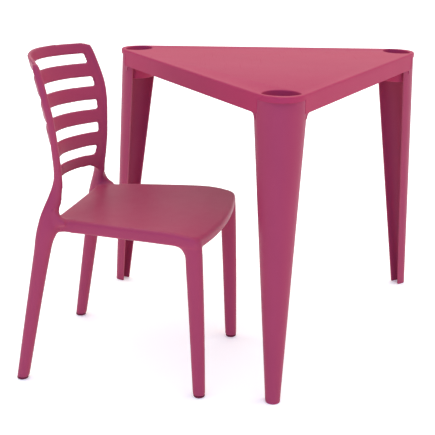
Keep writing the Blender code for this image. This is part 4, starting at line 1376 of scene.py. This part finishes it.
class MESH_OT_moulded_top(Operator):
    """Builds the three-cornered top with its cups, aprons and ribs"""
    bl_idname = "mesh.moulded_top"
    bl_label = "Table Top"

    def execute(self, context):
        build_table_top()
        return {"FINISHED"}


class MESH_OT_channel_legs(Operator):
    """Builds the three tapered channel legs"""
    bl_idname = "mesh.channel_legs"
    bl_label = "Table Legs"

    def execute(self, context):
        look = context.scene.plastic_look
        sizes = context.scene.table_sizes
        marks = []
        for corner in CORNERS:
            at = lerp(sizes.foot_at, sizes.corner_at, MARK_AT)
            at += lerp(sizes.foot_radius, sizes.corner_radius, MARK_AT)
            marks.append(corner_spot(sizes, corner, at - sizes.corner_at, 0.0, MARK_AT * table_height()))
        mat = moulded_plastic("leg plastic", look.body, look.body_deep, look.rough, marks=marks)
        for corner in CORNERS:
            build_leg(corner, mat)
        return {"FINISHED"}


class MESH_OT_tab_screws(Operator):
    """Builds the screws that hold the legs under the top"""
    bl_idname = "mesh.tab_screws"
    bl_label = "Screws"

    def execute(self, context):
        build_screws()
        return {"FINISHED"}


class MESH_OT_slatted_chair(Operator):
    """Builds the one-piece slatted chair"""
    bl_idname = "mesh.slatted_chair"
    bl_label = "Chair"

    def execute(self, context):
        build_chair()
        return {"FINISHED"}


class MESH_OT_foot_glides(Operator):
    """Builds the glide in each chair foot"""
    bl_idname = "mesh.foot_glides"
    bl_label = "Glides"

    def execute(self, context):
        build_glides()
        return {"FINISHED"}


class SCENE_OT_pale_studio(Operator):
    """Builds the pale floor, the soft lights and the camera"""
    bl_idname = "scene.pale_studio"
    bl_label = "Studio"

    def execute(self, context):
        build_stage()
        return {"FINISHED"}


class VIEW3D_PT_table_and_chair(Panel):
    bl_label = "Table and Chair"
    bl_idname = "VIEW3D_PT_table_and_chair"
    bl_space_type = "VIEW_3D"
    bl_region_type = "UI"
    bl_category = "Table and Chair"

    def draw(self, context):
        column = self.layout.column()
        for operator in OPERATORS:
            column.operator(operator.bl_idname)
        for group_name in ("table_sizes", "chair_sizes", "plastic_look", "studio_look"):
            settings = getattr(context.scene, group_name)
            for key in settings.__annotations__:
                column.prop(settings, key)


OPERATORS = (SCENE_OT_pale_studio, MESH_OT_moulded_top, MESH_OT_channel_legs, MESH_OT_tab_screws,
             MESH_OT_slatted_chair, MESH_OT_foot_glides)
SETTINGS = {"table_sizes": TableSizes, "chair_sizes": ChairSizes, "plastic_look": PlasticLook,
            "studio_look": StudioLook}


def register():
    for cls in (*SETTINGS.values(), *OPERATORS, VIEW3D_PT_table_and_chair):
        bpy.utils.register_class(cls)
    for name, cls in SETTINGS.items():
        setattr(bpy.types.Scene, name, PointerProperty(type=cls))


def unregister():
    for name in SETTINGS:
        delattr(bpy.types.Scene, name)
    for cls in reversed((*SETTINGS.values(), *OPERATORS, VIEW3D_PT_table_and_chair)):
        bpy.utils.unregister_class(cls)


def main():
    register()
    bpy.ops.scene.pale_studio()
    bpy.ops.mesh.moulded_top()
    bpy.ops.mesh.channel_legs()
    bpy.ops.mesh.tab_screws()
    bpy.ops.mesh.slatted_chair()
    bpy.ops.mesh.foot_glides()


if __name__ == "__main__":
    main()
